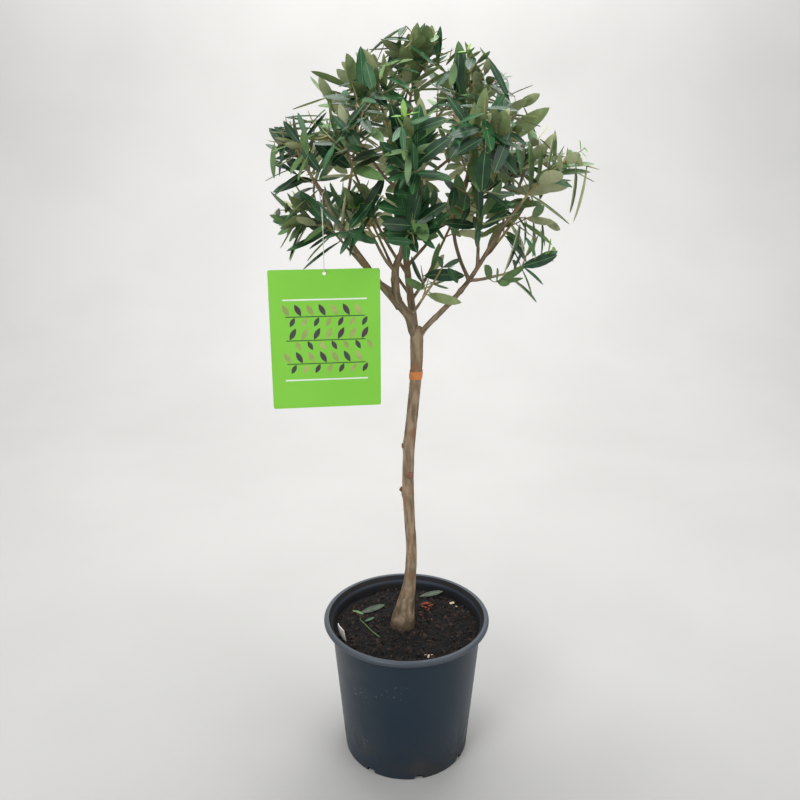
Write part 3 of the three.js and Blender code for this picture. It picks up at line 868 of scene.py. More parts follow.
class Wiring:
    """Adds nodes to a shader or geometry tree and joins their sockets."""

    def __init__(self, tree: bpy.types.NodeTree) -> None:
        """Works on one tree."""
        self.tree = tree

    @staticmethod
    def socket(sockets: Iterable[bpy.types.NodeSocket], key: str) -> bpy.types.NodeSocket:
        """Returns a socket by its identifier, or else by its name.

        Args:
            sockets: A node's inputs or outputs.
            key: The identifier or name.

        Returns:
            The socket.
        """
        listed = list(sockets)
        return ([socket for socket in listed if socket.identifier == key]
                or [socket for socket in listed if socket.name == key])[0]

    def feed(self, socket: bpy.types.NodeSocket, value: object) -> None:
        """Sets a socket to a value, or joins another node's output to it.

        Args:
            socket: The input.
            value: The value or output.
        """
        if isinstance(value, bpy.types.NodeSocket):
            self.tree.links.new(value, socket)
        else:
            socket.default_value = value

    def add(self, kind: str, inputs: dict[str, object] | None = None, **settings: object) -> bpy.types.Node:
        """Adds a node.

        Args:
            kind: The node's type.
            inputs: A value, or another node's output, for each socket named.
            **settings: The node's own properties.

        Returns:
            The new node.
        """
        node = self.tree.nodes.new(kind)
        for name, value in settings.items():
            setattr(node, name, value)
        for key, value in (inputs or {}).items():
            self.feed(self.socket(node.inputs, key), value)
        return node

    def math(self, operation: str, a: object, b: object = 0.0) -> bpy.types.NodeSocket:
        """Adds a Math node and returns its result.

        Args:
            operation: The node's operation.
            a: Its first value or output.
            b: Its second.

        Returns:
            The result.
        """
        node = self.add("ShaderNodeMath", operation=operation)
        for socket, value in zip(node.inputs, (a, b)):
            self.feed(socket, value)
        return node.outputs[0]

    def product(self, *values: object) -> bpy.types.NodeSocket:
        """Returns values multiplied together."""
        return reduce(lambda a, b: self.math("MULTIPLY", a, b), values)

    def rest(self, mask: object) -> bpy.types.NodeSocket:
        """Returns one less a mask."""
        return self.math("SUBTRACT", 1.0, mask)

    def vector(self, operation: str, a: object, **others: object) -> bpy.types.Node:
        """Adds a Vector Math node, with its other inputs by identifier."""
        return self.add("ShaderNodeVectorMath", {"Vector": a, **others}, operation=operation)

    def part(self, vector: object, axis: str) -> bpy.types.NodeSocket:
        """Returns one axis of a vector."""
        return self.add("ShaderNodeSeparateXYZ", {"Vector": vector}).outputs[axis]

    def away(self, place: object) -> bpy.types.NodeSocket:
        """Returns how far a place is from the upright axis."""
        flat = self.vector("MULTIPLY", place, Vector_001=(1.0, 1.0, 0.0)).outputs["Vector"]
        return self.vector("LENGTH", flat).outputs["Value"]

    def noise(self, place: object, scale: object, detail: float = 3.0) -> bpy.types.NodeSocket:
        """Adds a noise and returns its value."""
        inputs = {"Vector": place, "Scale": scale, "Detail": detail}
        return self.add("ShaderNodeTexNoise", inputs).outputs["Fac"]

    def spread(self, value: object, low: object, high: object) -> bpy.types.NodeSocket:
        """Returns a value's smooth rise from 0 at low to 1 at high."""
        inputs = {"Value": value, "From Min": low, "From Max": high}
        return self.add("ShaderNodeMapRange", inputs, interpolation_type="SMOOTHSTEP").outputs["Result"]

    def blend(self, share: object, a: object, b: object) -> bpy.types.NodeSocket:
        """Returns two colours mixed by a share."""
        inputs = {"Factor_Float": share, "A_Color": a, "B_Color": b}
        return self.socket(self.add("ShaderNodeMix", inputs, data_type="RGBA").outputs, "Result_Color")


class Effect:
    """A shader group with named sockets, which several finishes share."""

    def __init__(self, name: str, inputs: dict[str, tuple[str, object]], outputs: dict[str, str]) -> None:
        """Starts the group.

        Args:
            name: The group's name.
            inputs: Type and default value of each input.
            outputs: Type of each output.
        """
        self.group = bpy.data.node_groups.new(name, "ShaderNodeTree")
        interface = self.group.interface
        for key, (kind, value) in inputs.items():
            socket = interface.new_socket(key, in_out="INPUT", socket_type="NodeSocket" + kind)
            if value is not None:
                socket.default_value = value
        for key, kind in outputs.items():
            interface.new_socket(key, in_out="OUTPUT", socket_type="NodeSocket" + kind)
        self.wiring = Wiring(self.group)
        self.start = self.wiring.add("NodeGroupInput").outputs
        self.end = self.wiring.add("NodeGroupOutput").inputs

    def close(self, key: str, value: bpy.types.NodeSocket) -> bpy.types.NodeTree:
        """Joins a value to an output and returns the group."""
        self.wiring.feed(self.end[key], value)
        return self.group


def soft_patches() -> bpy.types.NodeTree:
    """Builds a group that mixes two colours in soft patches.

    Returns:
        The group.
    """
    effect = Effect("soft_patches", {
        "Vector": ("Vector", None), "Scale": ("Float", 20.0), "Low": ("Float", 0.35), "High": ("Float", 0.65),
        "Colour A": ("Color", None), "Colour B": ("Color", None),
    }, {"Colour": "Color"})
    start = effect.start
    value = effect.wiring.noise(start["Vector"], start["Scale"], 5.0)
    mask = effect.wiring.spread(value, start["Low"], start["High"])
    return effect.close("Colour", effect.wiring.blend(mask, start["Colour A"], start["Colour B"]))


def sparse_specks() -> bpy.types.NodeTree:
    """Builds a group that gives a mask of sparse specks, denser where a slow noise is high.

    Returns:
        The group.
    """
    effect = Effect("sparse_specks", {
        "Vector": ("Vector", None), "Scale": ("Float", 400.0), "Cluster": ("Float", 18.0),
        "Size": ("Float", 0.12),
    }, {"Mask": "Float"})
    start, wiring = effect.start, effect.wiring
    cells = wiring.add("ShaderNodeTexVoronoi", {"Vector": start["Vector"], "Scale": start["Scale"]})
    cluster = wiring.spread(wiring.noise(start["Vector"], start["Cluster"], 3.0), 0.5, 0.75)
    radius = wiring.product(start["Size"], cluster)
    edge = wiring.spread(cells.outputs["Distance"], wiring.product(radius, 0.5), radius)
    return effect.close("Mask", wiring.product(wiring.rest(edge), cluster))


def two_scale_grain() -> bpy.types.NodeTree:
    """Builds a group that gives the height of a two-scale grain.

    Returns:
        The group.
    """
    effect = Effect("two_scale_grain", {
        "Vector": ("Vector", None), "Coarse": ("Float", 60.0), "Fine": ("Float", 600.0),
    }, {"Height": "Float"})
    start, wiring = effect.start, effect.wiring
    coarse = wiring.product(wiring.noise(start["Vector"], start["Coarse"], 4.0), 0.7)
    fine = wiring.product(wiring.noise(start["Vector"], start["Fine"], 2.0), 0.3)
    return effect.close("Height", wiring.math("ADD", coarse, fine))


PATCHES = soft_patches()
SPECKS = sparse_specks()
GRAIN = two_scale_grain()


class Surface(Wiring):
    """One material in the making: its wiring, its shader and where patterns take their place from."""

    def __init__(self, name: str, roughness: float, specular: float = 0.5, attribute: str = "") -> None:
        """Starts a material.

        Args:
            name: The material's name.
            roughness: Roughness of its shader.
            specular: Specular level of its shader.
            attribute: A vector attribute that patterns follow, or none for the object's own coordinates.
        """
        self.material = bpy.data.materials.new(name)
        self.material.use_nodes = True
        super().__init__(self.material.node_tree)
        self.shader = self.tree.nodes["Principled BSDF"].inputs
        self.shader["Roughness"].default_value = roughness
        self.shader["Specular IOR Level"].default_value = specular
        if attribute:
            self.place = self.add("ShaderNodeAttribute", attribute_name=attribute).outputs["Vector"]
        else:
            self.place = self.add("ShaderNodeTexCoord").outputs["Object"]

    def patches(self, a: str, b: str, scale: float, low: float = 0.35, high: float = 0.65,
                place: bpy.types.NodeSocket | None = None) -> bpy.types.NodeSocket:
        """Mixes two colours in soft patches.

        Args:
            a: The colour where the noise is low.
            b: The colour where it is high.
            scale: Scale of the noise.
            low: Value of the noise up to which all is a.
            high: Value from which all is b.
            place: Where the noise is taken, or none for the surface's own place.

        Returns:
            The mixed colour.
        """
        inputs = {"Vector": place or self.place, "Scale": scale, "Low": low, "High": high,
                  "Colour A": colour(a), "Colour B": colour(b)}
        return self.add("ShaderNodeGroup", inputs, node_tree=PATCHES).outputs["Colour"]

    def specks(self, scale: float, cluster: float, size: float) -> bpy.types.NodeSocket:
        """Returns a mask of sparse specks."""
        inputs = {"Vector": self.place, "Scale": scale, "Cluster": cluster, "Size": size}
        return self.add("ShaderNodeGroup", inputs, node_tree=SPECKS).outputs["Mask"]

    def stain(self, base: bpy.types.NodeSocket, code: str, *masks: object) -> bpy.types.NodeSocket:
        """Returns a colour stained with another through the product of its masks."""
        return self.blend(self.product(*masks), base, colour(code))

    def finished(self, base: bpy.types.NodeSocket, coarse: float, fine: float, depth: float,
                 place: bpy.types.NodeSocket | None = None) -> bpy.types.Material:
        """Gives the shader its colour and the relief of a two-scale grain.

        Args:
            base: The colour.
            coarse: Scale of the coarse grain.
            fine: Scale of the fine grain.
            depth: Depth of the relief in metres.
            place: Where the grain is taken, or none for the surface's own place.

        Returns:
            The finished material.
        """
        self.feed(self.shader["Base Color"], base)
        inputs = {"Vector": place or self.place, "Coarse": coarse, "Fine": fine}
        height = self.add("ShaderNodeGroup", inputs, node_tree=GRAIN).outputs["Height"]
        relief = self.add("ShaderNodeBump", {"Height": height, "Strength": 1.0, "Distance": depth})
        self.feed(self.shader["Normal"], relief.outputs["Normal"])
        return self.material


@dataclass(frozen=True)
class LeafFinish:
    """A leathery leaf face in one plain colour with a faint mottle.

    Attributes:
        name: The material's name.
        base: Its colour.
        shade: The mottle's colour.
        roughness: Roughness of the shader.
        specular: Specular level of the shader.
        mottle: Scale of the mottle.
        grain: Scale of the coarse and the fine grain, and its depth in metres.
    """

    name: str
    base: str
    shade: str
    roughness: float
    specular: float = 0.45
    mottle: float = 90
    grain: tuple[float, float, float] = (500, 2600, 0.00012)

    def material(self) -> bpy.types.Material:
        """Makes the material."""
        surface = Surface(self.name, self.roughness, self.specular)
        return surface.finished(surface.patches(self.base, self.shade, self.mottle, 0.3, 0.7), *self.grain)


LEAF_FINISHES = (
    LeafFinish("leaf_deep_green", "#1b4528", "#11321c", 0.42),
    LeafFinish("leaf_mid_green", "#2e6238", "#214d2b", 0.46),
    LeafFinish("leaf_olive_green", "#64844d", "#4f6e3f", 0.52),
    LeafFinish("leaf_young_green", "#7fae45", "#6b9c3c", 0.5),
    LeafFinish("leaf_pale_underside", "#ccd0a6", "#b8bd90", 0.8),
    LeafFinish("leaf_olive_underside", "#8f9f6c", "#7c8c5a", 0.78),
    LeafFinish("fallen_leaf", "#4c5749", "#3a423a", 0.75),
    LeafFinish("leaf_rib", "#718c5a", "#607b4b", 0.55),
)


@dataclass(frozen=True)
class BarkFinish:
    """Bark in streaks along its limb, with pale dots and a two-scale grain.

    Attributes:
        name: The material's name.
        light: Colour of the pale streaks.
        dark: Colour of the dark streaks.
        warm: Colour of the warm patches.
        dot: Colour of the dots.
        streak: Scale of the streaks across the limb.
        depth: Depth of the grain in metres.
        foot: Colour of the moss near the foot, or none.
        foot_band: Colour of the dark brown band that darkens the lowest 8 to 24 mm of the foot.
        roughness: Roughness of the shader.
        specular: Specular level of the shader.
        stretch: Scale of the streaks along the limb against that across it.
        dots: Scale, clustering and size of the dots.
    """

    name: str
    light: str
    dark: str
    warm: str
    dot: str
    streak: float
    depth: float
    foot: str = ""
    foot_band: str = "#3a2c23"
    roughness: float = 0.82
    specular: float = 0.25
    stretch: float = 0.22
    dots: tuple[float, float, float] = (260, 40, 0.55)

    def material(self) -> bpy.types.Material:
        """Makes the material, whose patterns follow the limb through its bark_place.

        Returns:
            The material.
        """
        surface = Surface(self.name, self.roughness, self.specular, "bark_place")
        place = surface.place
        inputs = {"Vector": place, "Scale": (1, 1, self.stretch)}
        along = surface.add("ShaderNodeMapping", inputs).outputs["Vector"]
        base = surface.patches(self.light, self.dark, self.streak, 0.35, 0.66, along)
        patch = surface.noise(place, self.streak * 0.23)
        base = surface.stain(base, self.warm, surface.spread(patch, 0.52, 0.68))
        base = surface.stain(base, self.dot, surface.specks(*self.dots))
        if self.foot:
            height = surface.part(place, "Z")
            moss = surface.spread(surface.noise(place, 55.0, 4.0), 0.38, 0.62)
            base = surface.stain(base, self.foot, surface.rest(surface.spread(height, 0.0, 0.15)), moss)
            edge = surface.math("ADD", height, surface.product(moss, 0.008))
            # The foot is darkened to dark brown over its lowest 8 to 24 mm.
            base = surface.stain(base, self.foot_band, surface.rest(surface.spread(edge, 0.008, 0.024)), 0.85)
        return surface.finished(base, self.streak * 1.6, 900, self.depth, along)


TRUNK_BARK = BarkFinish("trunk_bark", "#a18c74", "#73624e", "#8c6a4f", "#ab9b82", 150, 0.0009, "#554a37")
BOUGH_BARK = BarkFinish("bough_bark", "#94826b", "#6b5d4c", "#8a6e55", "#b5a68a", 240, 0.0006)
TWIG_BARK = BarkFinish("twig_bark", "#b3a276", "#8d8058", "#95704e", "#bcb088", 320, 0.0003)
CUT_WOOD = BarkFinish("cut_wood", "#7c5746", "#4d362b", "#86604e", "#94796a", 420, 0.0004)
GREEN_STEM = BarkFinish("green_stem", "#587048", "#465c3b", "#75754a", "#84905f", 420, 0.0002)


@dataclass(frozen=True)
class PotFinish:
    """Satin moulded plastic with a soiled foot, a painted highlight on the lip, dried smears, dust, and peat
    stains with painted shade inside.

    Attributes:
        name: The material's name.
        plastic: Its two colours.
        soiled: Colour of the soil on the foot.
        lip_highlight: Colour of the painted highlight on the top of the lip.
        smeared: Colour of the dried smears.
        dusty: Colour of the dust.
        peat_and_shade: The two colours of the inner wall.
        shine: Roughness and specular level of the shader.
        clean: Roughness where the plastic is clean.
        matt: Roughness where it is soiled.
        grain: Scale of the coarse and the fine grain, and its depth in metres.
    """

    name: str = "pot_plastic"
    plastic: tuple[str, str] = ("#132635", "#162735")
    soiled: str = "#37342f"
    lip_highlight: str = "#4b5158"
    smeared: str = "#4a4b4a"
    dusty: str = "#7d8180"
    peat_and_shade: tuple[str, str] = ("#0c1118", "#1b1614")
    shine: tuple[float, float] = (0.46, 0.36)
    clean: float = 0.4
    matt: float = 0.8
    grain: tuple[float, float, float] = (90, 1500, 0.00012)

    def material(self) -> bpy.types.Material:
        """Makes the material.

        Returns:
            The material.
        """
        surface = Surface(self.name, *self.shine)
        place = surface.place
        height = surface.part(place, "Z")
        base = surface.patches(*self.plastic, 9)
        low = surface.rest(surface.spread(height, 0.0, 0.11))
        soiled = surface.product(low, surface.spread(surface.noise(place, 26.0, 6.0), 0.38, 0.7))
        base = surface.stain(base, self.soiled, soiled, 0.75)
        # Painted highlight: the lip is lightened from 238 mm up, as if it caught the light from above.
        base = surface.stain(base, self.lip_highlight, surface.spread(height, 0.238, 0.243), 0.7)
        side = surface.part(place, "X")
        left = surface.rest(surface.spread(side, -0.1, -0.02))
        smear = surface.spread(surface.noise(place, 14.0, 5.0), 0.4, 0.72)
        base = surface.stain(base, self.smeared, left, smear, 0.45)
        # The inner wall is where the distance from the axis, less the wall's own taper, is small
        flare = surface.product(surface.spread(height, 0.237, 0.2495), 0.0055)
        taper = surface.math("ADD", surface.product(height, 0.083), flare)
        distance = surface.math("SUBTRACT", surface.away(place), taper)
        inside = surface.rest(surface.spread(distance, 0.1052, 0.1062))
        # Painted shade with peat stains: the inner wall is darkened to near black, with patches of peat
        # brown.
        base = surface.blend(inside, base, surface.patches(*self.peat_and_shade, 30))
        dust = surface.product(surface.specks(170, 22, 0.42), surface.rest(surface.spread(side, -0.04, 0.03)))
        base = surface.stain(base, self.dusty, dust, 0.5)
        matt = surface.math("MAXIMUM", surface.math("MAXIMUM", dust, soiled), inside)
        inputs = {"Value": matt, "To Min": self.clean, "To Max": self.matt}
        rough = surface.add("ShaderNodeMapRange", inputs).outputs["Result"]
        surface.feed(surface.shader["Roughness"], rough)
        return surface.finished(base, *self.grain)


@dataclass(frozen=True)
class MottledFinish:
    """A stuff of two colours in patches, with grain in relief.

    Attributes:
        name: The material's name.
        base: One colour.
        shade: The other.
        patch: Scale of the patches.
        coarse: Scale of the coarse grain.
        fine: Scale of the fine grain.
        depth: Depth of the grain in metres.
        roughness: Roughness of the shader.
        specular: Specular level of the shader.
    """

    name: str
    base: str
    shade: str
    patch: float
    coarse: float
    fine: float
    depth: float
    roughness: float = 0.9
    specular: float = 0.3

    def material(self) -> bpy.types.Material:
        """Makes the material.

        Returns:
            The material.
        """
        surface = Surface(self.name, self.roughness, self.specular)
        base = surface.patches(self.base, self.shade, self.patch)
        return surface.finished(base, self.coarse, self.fine, self.depth)


PEAT = MottledFinish("peat", "#131112", "#050505", 70, 180, 1400, 0.0016, 0.95)
CRUMB = MottledFinish("peat_crumb", "#392d27", "#060606", 110, 300, 2000, 0.0006, 0.95)
FIBRE = MottledFinish("peat_fibre", "#4f3d31", "#33261e", 300, 400, 2400, 0.0003)
RED_BARK = MottledFinish("bark_chip", "#8a4a30", "#5c2e20", 260, 300, 1800, 0.0004)
PALE_CHIP = MottledFinish("pale_chip", "#c9b79d", "#a8957c", 260, 300, 1800, 0.0003)
TAPE_FINISH = MottledFinish("orange_tape", "#db8b50", "#c87a42", 60, 500, 3000, 0.00008, 0.55, 0.4)
CARD_FINISH = MottledFinish("tag_green", "#82cc42", "#7ec83e", 14, 120, 1800, 0.00002, 0.38, 0.5)
THREAD_FINISH = MottledFinish("white_thread", "#e6e6e0", "#cfcfc8", 900, 1500, 6000, 0.00005, 0.8)
LABEL_FINISH = MottledFinish("white_label", "#e9e7e1", "#d9d6cd", 45, 200, 2600, 0.00003, 0.45, 0.5)
PRINT_WHITE = MottledFinish("print_white", "#e9efe2", "#dfe7d6", 60, 300, 2000, 0.00001, 0.42, 0.5)
PRINT_STEM = MottledFinish("print_stem", "#3f5a2c", "#364e26", 60, 300, 2000, 0.00001, 0.42, 0.5)
PRINT_DARK = MottledFinish("print_dark", "#3b4a3a", "#4d2f45", 45, 300, 2000, 0.00001, 0.42, 0.5)
PRINT_PALE = MottledFinish("print_pale", "#a9b56a", "#8f9c55", 45, 300, 2000, 0.00001, 0.42, 0.5)
STUDIO_FINISH = MottledFinish("studio_paint", "#aeadab", "#abaaa8", 2, 20, 200, 0.00001, 0.85, 0.2)

Finish = LeafFinish | BarkFinish | PotFinish | MottledFinish


@cache
def material_of(finish: Finish) -> bpy.types.Material:
    """Returns the material of a finish, made once and then shared."""
    return finish.material()


def mesh_object(name: str, points: Sequence, edges: Sequence = (), faces: Sequence = ()) -> bpy.types.Object:
    """Makes a mesh object at the origin.

    Args:
        name: The object's name.
        points: Its vertices in metres.
        edges: Pairs of vertex numbers.
        faces: Rings of vertex numbers.

    Returns:
        The object, linked into the scene.
    """
    mesh = bpy.data.meshes.new(name)
    mesh.from_pydata([tuple(map(float, p)) for p in points], edges, faces)
    mesh.update()
    made = bpy.data.objects.new(name, mesh)
    bpy.context.scene.collection.objects.link(made)
    return made


def lofted(name: str, bodies: Iterable[Sequence[Sequence[Point]]], capped: bool = True) -> bpy.types.Object:
    """Skins closed bodies, each from a row of equal rings of points.

    Args:
        name: The object's name.
        bodies: The rings of each body in order, their points in millimetres.
        capped: True to close the first and the last ring, False where they are one and the same.

    Returns:
        One mesh object of all the bodies.
    """
    points, faces = [], []
    for rings in bodies:
        first, sides = len(points), len(rings[0])
        points.extend(spot for ring in rings for spot in ring)
        for start in range(first, len(points) - sides, sides):
            for side in range(sides):
                a, b = start + side, start + (side + 1) % sides
                faces.append((a, b, b + sides, a + sides))
        if capped:
            faces.append(tuple(range(first, first + sides)))
            faces.append(tuple(range(len(points) - sides, len(points))))
    made = mesh_object(name, np.array(points) * MM, faces=faces)
    outward(made)
    return made


def turns_of(count: int) -> Point:
    """Returns a number of even turns in a full circle, in radians."""
    return np.linspace(0, 2 * math.pi, count, endpoint=False)


def icosphere(subdivisions: int) -> tuple[list[Vector], list[tuple[int, ...]]]:
    """Returns the points and faces of a ball with a radius of one.

    Args:
        subdivisions: How often its twenty faces are cut.

    Returns:
        Its points, and the numbers of each face's points.
    """
    bm = bmesh.new()
    bmesh.ops.create_icosphere(bm, subdivisions=subdivisions, radius=1)
    bm.verts.index_update()
    points = [vertex.co.copy() for vertex in bm.verts]
    faces = [tuple(vertex.index for vertex in face.verts) for face in bm.faces]
    bm.free()
    return points, faces


def set_attribute(made: bpy.types.Object, name: str, kind: str, values: Sequence,
                  domain: str = "POINT") -> None:
    """Stores one value for each vertex or face under a name.

    Args:
        made: The mesh object.
        name: The attribute's name.
        kind: FLOAT, INT or FLOAT_VECTOR.
        values: The values in order.
        domain: POINT or FACE.
    """
    attribute = made.data.attributes.new(name, kind, domain)
    if kind == "FLOAT_VECTOR":
        attribute.data.foreach_set("vector", np.array(values, np.float32).ravel())
    else:
        attribute.data.foreach_set("value", np.array(values))


def dressed(made: bpy.types.Object, finish: Finish, sharp: float = 180) -> bpy.types.Object:
    """Gives a mesh its finish and smooths it, but for sharp edges.

    Args:
        made: The mesh object.
        finish: Its finish.
        sharp: The angle in degrees from which an edge is sharp.

    Returns:
        The same object.
    """
    made.data.materials.clear()
    made.data.materials.append(material_of(finish))
    made.data.shade_smooth()
    made.data.set_sharp_from_angle(angle=math.radians(sharp))
    return made


def outward(made: bpy.types.Object) -> None:
    """Merges doubled vertices and turns every face outwards.

    Args:
        made: The mesh object.
    """
    bm = bmesh.new()
    bm.from_mesh(made.data)
    bmesh.ops.remove_doubles(bm, verts=bm.verts, dist=1e-6)
    bmesh.ops.recalc_face_normals(bm, faces=bm.faces)
    bm.to_mesh(made.data)
    bm.free()


def baked(made: bpy.types.Object) -> bpy.types.Object:
    """Turns an object with modifiers into a plain mesh object of the same name.

    Args:
        made: The object, which is removed.

    Returns:
        The plain mesh object.
    """
    graph = bpy.context.evaluated_depsgraph_get()
    mesh = bpy.data.meshes.new_from_object(made.evaluated_get(graph), depsgraph=graph)
    name = made.name
    scratch = made.data
    bpy.data.objects.remove(made)
    bpy.data.meshes.remove(scratch)
    mesh.name = name
    plain = bpy.data.objects.new(name, mesh)
    bpy.context.scene.collection.objects.link(plain)
    return plain


def thickened(made: bpy.types.Object, thickness: float) -> bpy.types.Object:
    """Gives a sheet of faces a thickness in millimetres, half to each side.

    Args:
        made: The sheet, which is removed.
        thickness: The thickness.

    Returns:
        The closed mesh object.
    """
    solid = made.modifiers.new("thickness", "SOLIDIFY")
    solid.thickness = thickness * MM
    solid.offset = 0
    made = baked(made)
    outward(made)
    return made


def place(piece: bpy.types.Object, slot: Slot, *nodes: str) -> None:
    """Hands a finished piece over: it rides on the part's body, and stands for CAD nodes.

    Args:
        piece: The finished mesh object.
        slot: The record's material slot; not used.
        *nodes: The CAD nodes that it stands for.
    """
    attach(piece, "root")
    if nodes:
        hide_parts(*nodes)
    triangles = sum(len(polygon.vertices) - 2 for polygon in piece.data.polygons)
    log.info("%s: %d triangles, stands for %d nodes", piece.name, triangles, len(nodes))


class GeometryRule:
    """A Geometry Nodes tree with named inputs, from an input mesh to a finished one."""

    def __init__(self, name: str, inputs: dict[str, tuple[str, object]]) -> None:
        """Starts the tree.

        Args:
            name: The tree's name.
            inputs: Type and default value of each named input.
        """
        self.tree = bpy.data.node_groups.new(name, "GeometryNodeTree")
        self.sockets: dict[str, str] = {}
        interface = self.tree.interface
        interface.new_socket("Geometry", in_out="INPUT", socket_type="NodeSocketGeometry")
        for key, (kind, value) in inputs.items():
            socket = interface.new_socket(key, in_out="INPUT", socket_type="NodeSocket" + kind)
            if value is not None:
                socket.default_value = value
            self.sockets[key] = socket.identifier
        interface.new_socket("Geometry", in_out="OUTPUT", socket_type="NodeSocketGeometry")
        self.wiring = Wiring(self.tree)
        self.start = self.wiring.add("NodeGroupInput")

    def input(self, key: str) -> bpy.types.NodeSocket:
        """Returns a named input of the tree."""
        return self.start.outputs[key]

    def named(self, name: str, kind: str = "FLOAT") -> bpy.types.NodeSocket:
        """Returns a stored attribute."""
        node = self.wiring.add("GeometryNodeInputNamedAttribute", {"Name": name}, data_type=kind)
        return node.outputs["Attribute"]

    def store(self, geometry: object, name: str, kind: str, value: object) -> object:
        """Stores an attribute and returns the geometry.

        Args:
            geometry: The geometry.
            name: The attribute's name.
            kind: FLOAT or FLOAT_VECTOR.
            value: Its value or output.

        Returns:
            The geometry with the attribute.
        """
        inputs = {"Geometry": geometry, "Name": name, "Value": value}
        node = self.wiring.add("GeometryNodeStoreNamedAttribute", inputs, data_type=kind)
        return node.outputs["Geometry"]

    def scaled(self, vector: object, scale: object) -> bpy.types.NodeSocket:
        """Returns a vector times a number."""
        return self.wiring.vector("SCALE", vector, Scale=scale).outputs["Vector"]

    def close(self, geometry: object, materials: Sequence[tuple[object, object]]) -> None:
        """Ends the tree in Realize Instances and Set Material.

        Args:
            geometry: The geometry to finish.
            materials: Selection and material of each finish, or None to select all.
        """
        geometry = self.wiring.add("GeometryNodeRealizeInstances", {"Geometry": geometry}).outputs["Geometry"]
        for selection, material in materials:
            inputs = {"Geometry": geometry, "Material": material}
            if selection is not None:
                inputs["Selection"] = selection
            geometry = self.wiring.add("GeometryNodeSetMaterial", inputs).outputs["Geometry"]
        self.wiring.add("NodeGroupOutput", {"Geometry": geometry})

    def apply(self, made: bpy.types.Object, values: dict[str, object]) -> bpy.types.Object:
        """Runs the tree on an object and returns the plain mesh object that it makes.

        Args:
            made: The object, which is removed.
            values: A value for each named input.

        Returns:
            The plain mesh object.
        """
        modifier = made.modifiers.new(self.tree.name, "NODES")
        modifier.node_group = self.tree
        for key, value in values.items():
            modifier[self.sockets[key]] = value
        made.update_tag()
        return baked(made)


class LimbTubes(GeometryRule):
    """Round limbs along lines, with a girth at each vertex and bark relief that follows the limb.

    Attributes:
        STRETCH: Scale of the relief across and along the limb.
        SHIFT: Shift of the bark from one limb to the next, in metres.
    """

    STRETCH = (1.0, 1.0, 0.3)
    SHIFT = 0.37

    def __init__(self) -> None:
        """Builds the tree."""
        super().__init__("limb_tubes", {
            "Sides": ("Int", 12), "Relief Depth": ("Float", 0.0004), "Relief Scale": ("Float", 260.0),
            "Bark": ("Material", None),
        })
        wiring = self.wiring
        line = wiring.add("GeometryNodeMeshToCurve", {"Mesh": self.input("Geometry")}).outputs["Curve"]
        line = self.store(line, "run", "FLOAT", wiring.add("GeometryNodeSplineParameter").outputs["Length"])
        inputs = {"Resolution": self.input("Sides"), "Radius": 1.0}
        ring = wiring.add("GeometryNodeCurvePrimitiveCircle", inputs)
        position = wiring.add("GeometryNodeInputPosition").outputs["Position"]
        ring = self.store(ring.outputs["Curve"], "round", "FLOAT_VECTOR", position)
        tube = wiring.add("GeometryNodeCurveToMesh", {
            "Curve": line, "Profile Curve": ring, "Scale": self.named("girth"), "Fill Caps": True,
        }).outputs["Mesh"]
        spot = self.scaled(self.named("round", "FLOAT_VECTOR"), self.named("girth"))
        along = wiring.math("ADD", self.named("run"), self.named("start"))
        parts = {"X": wiring.part(spot, "X"), "Y": wiring.part(spot, "Y"), "Z": along}
        bark_place = wiring.add("ShaderNodeCombineXYZ", parts).outputs["Vector"]
        tube = self.store(tube, "bark_place", "FLOAT_VECTOR", bark_place)
        place_kept = self.named("bark_place", "FLOAT_VECTOR")
        stretched = wiring.vector("MULTIPLY", place_kept, Vector_001=self.STRETCH).outputs["Vector"]
        bump = wiring.math("SUBTRACT", wiring.noise(stretched, self.input("Relief Scale")), 0.5)
        height = wiring.product(bump, self.input("Relief Depth"))
        normal = wiring.add("GeometryNodeInputNormal").outputs["Normal"]
        inputs = {"Geometry": tube, "Offset": self.scaled(normal, height)}
        tube = wiring.add("GeometryNodeSetPosition", inputs).outputs["Geometry"]
        tube = wiring.add("GeometryNodeSetShadeSmooth", {"Geometry": tube}).outputs["Geometry"]
        self.close(tube, [(None, self.input("Bark"))])

    def grow(self, name: str, lines: Sequence[Line], make: "Make", finish: Finish) -> bpy.types.Object:
        """Makes one mesh of tubes.

        Args:
            name: The piece's name.
            lines: The limbs.
            make: Their sides and relief.
            finish: Their finish.

        Returns:
            The plain mesh object.
        """
        points, edges, girths, starts = [], [], [], []
        for number, (line, radii) in enumerate(lines):
            first = len(points)
            points.extend(np.array(line) * MM)
            girths.extend(np.array(radii) * MM)
            starts.extend([number * self.SHIFT] * len(line))
            edges.extend((first + k, first + k + 1) for k in range(len(line) - 1))
        made = mesh_object(name, points, edges)
        set_attribute(made, "girth", "FLOAT", girths)
        set_attribute(made, "start", "FLOAT", starts)
        values = {"Sides": make.sides, "Relief Depth": make.depth, "Relief Scale": make.scale}
        return self.apply(made, {**values, "Bark": material_of(finish)})


@dataclass(frozen=True)
class Make:
    """Sides of a round limb, and the depth in metres and the scale of its relief."""

    sides: int
    depth: float
    scale: float


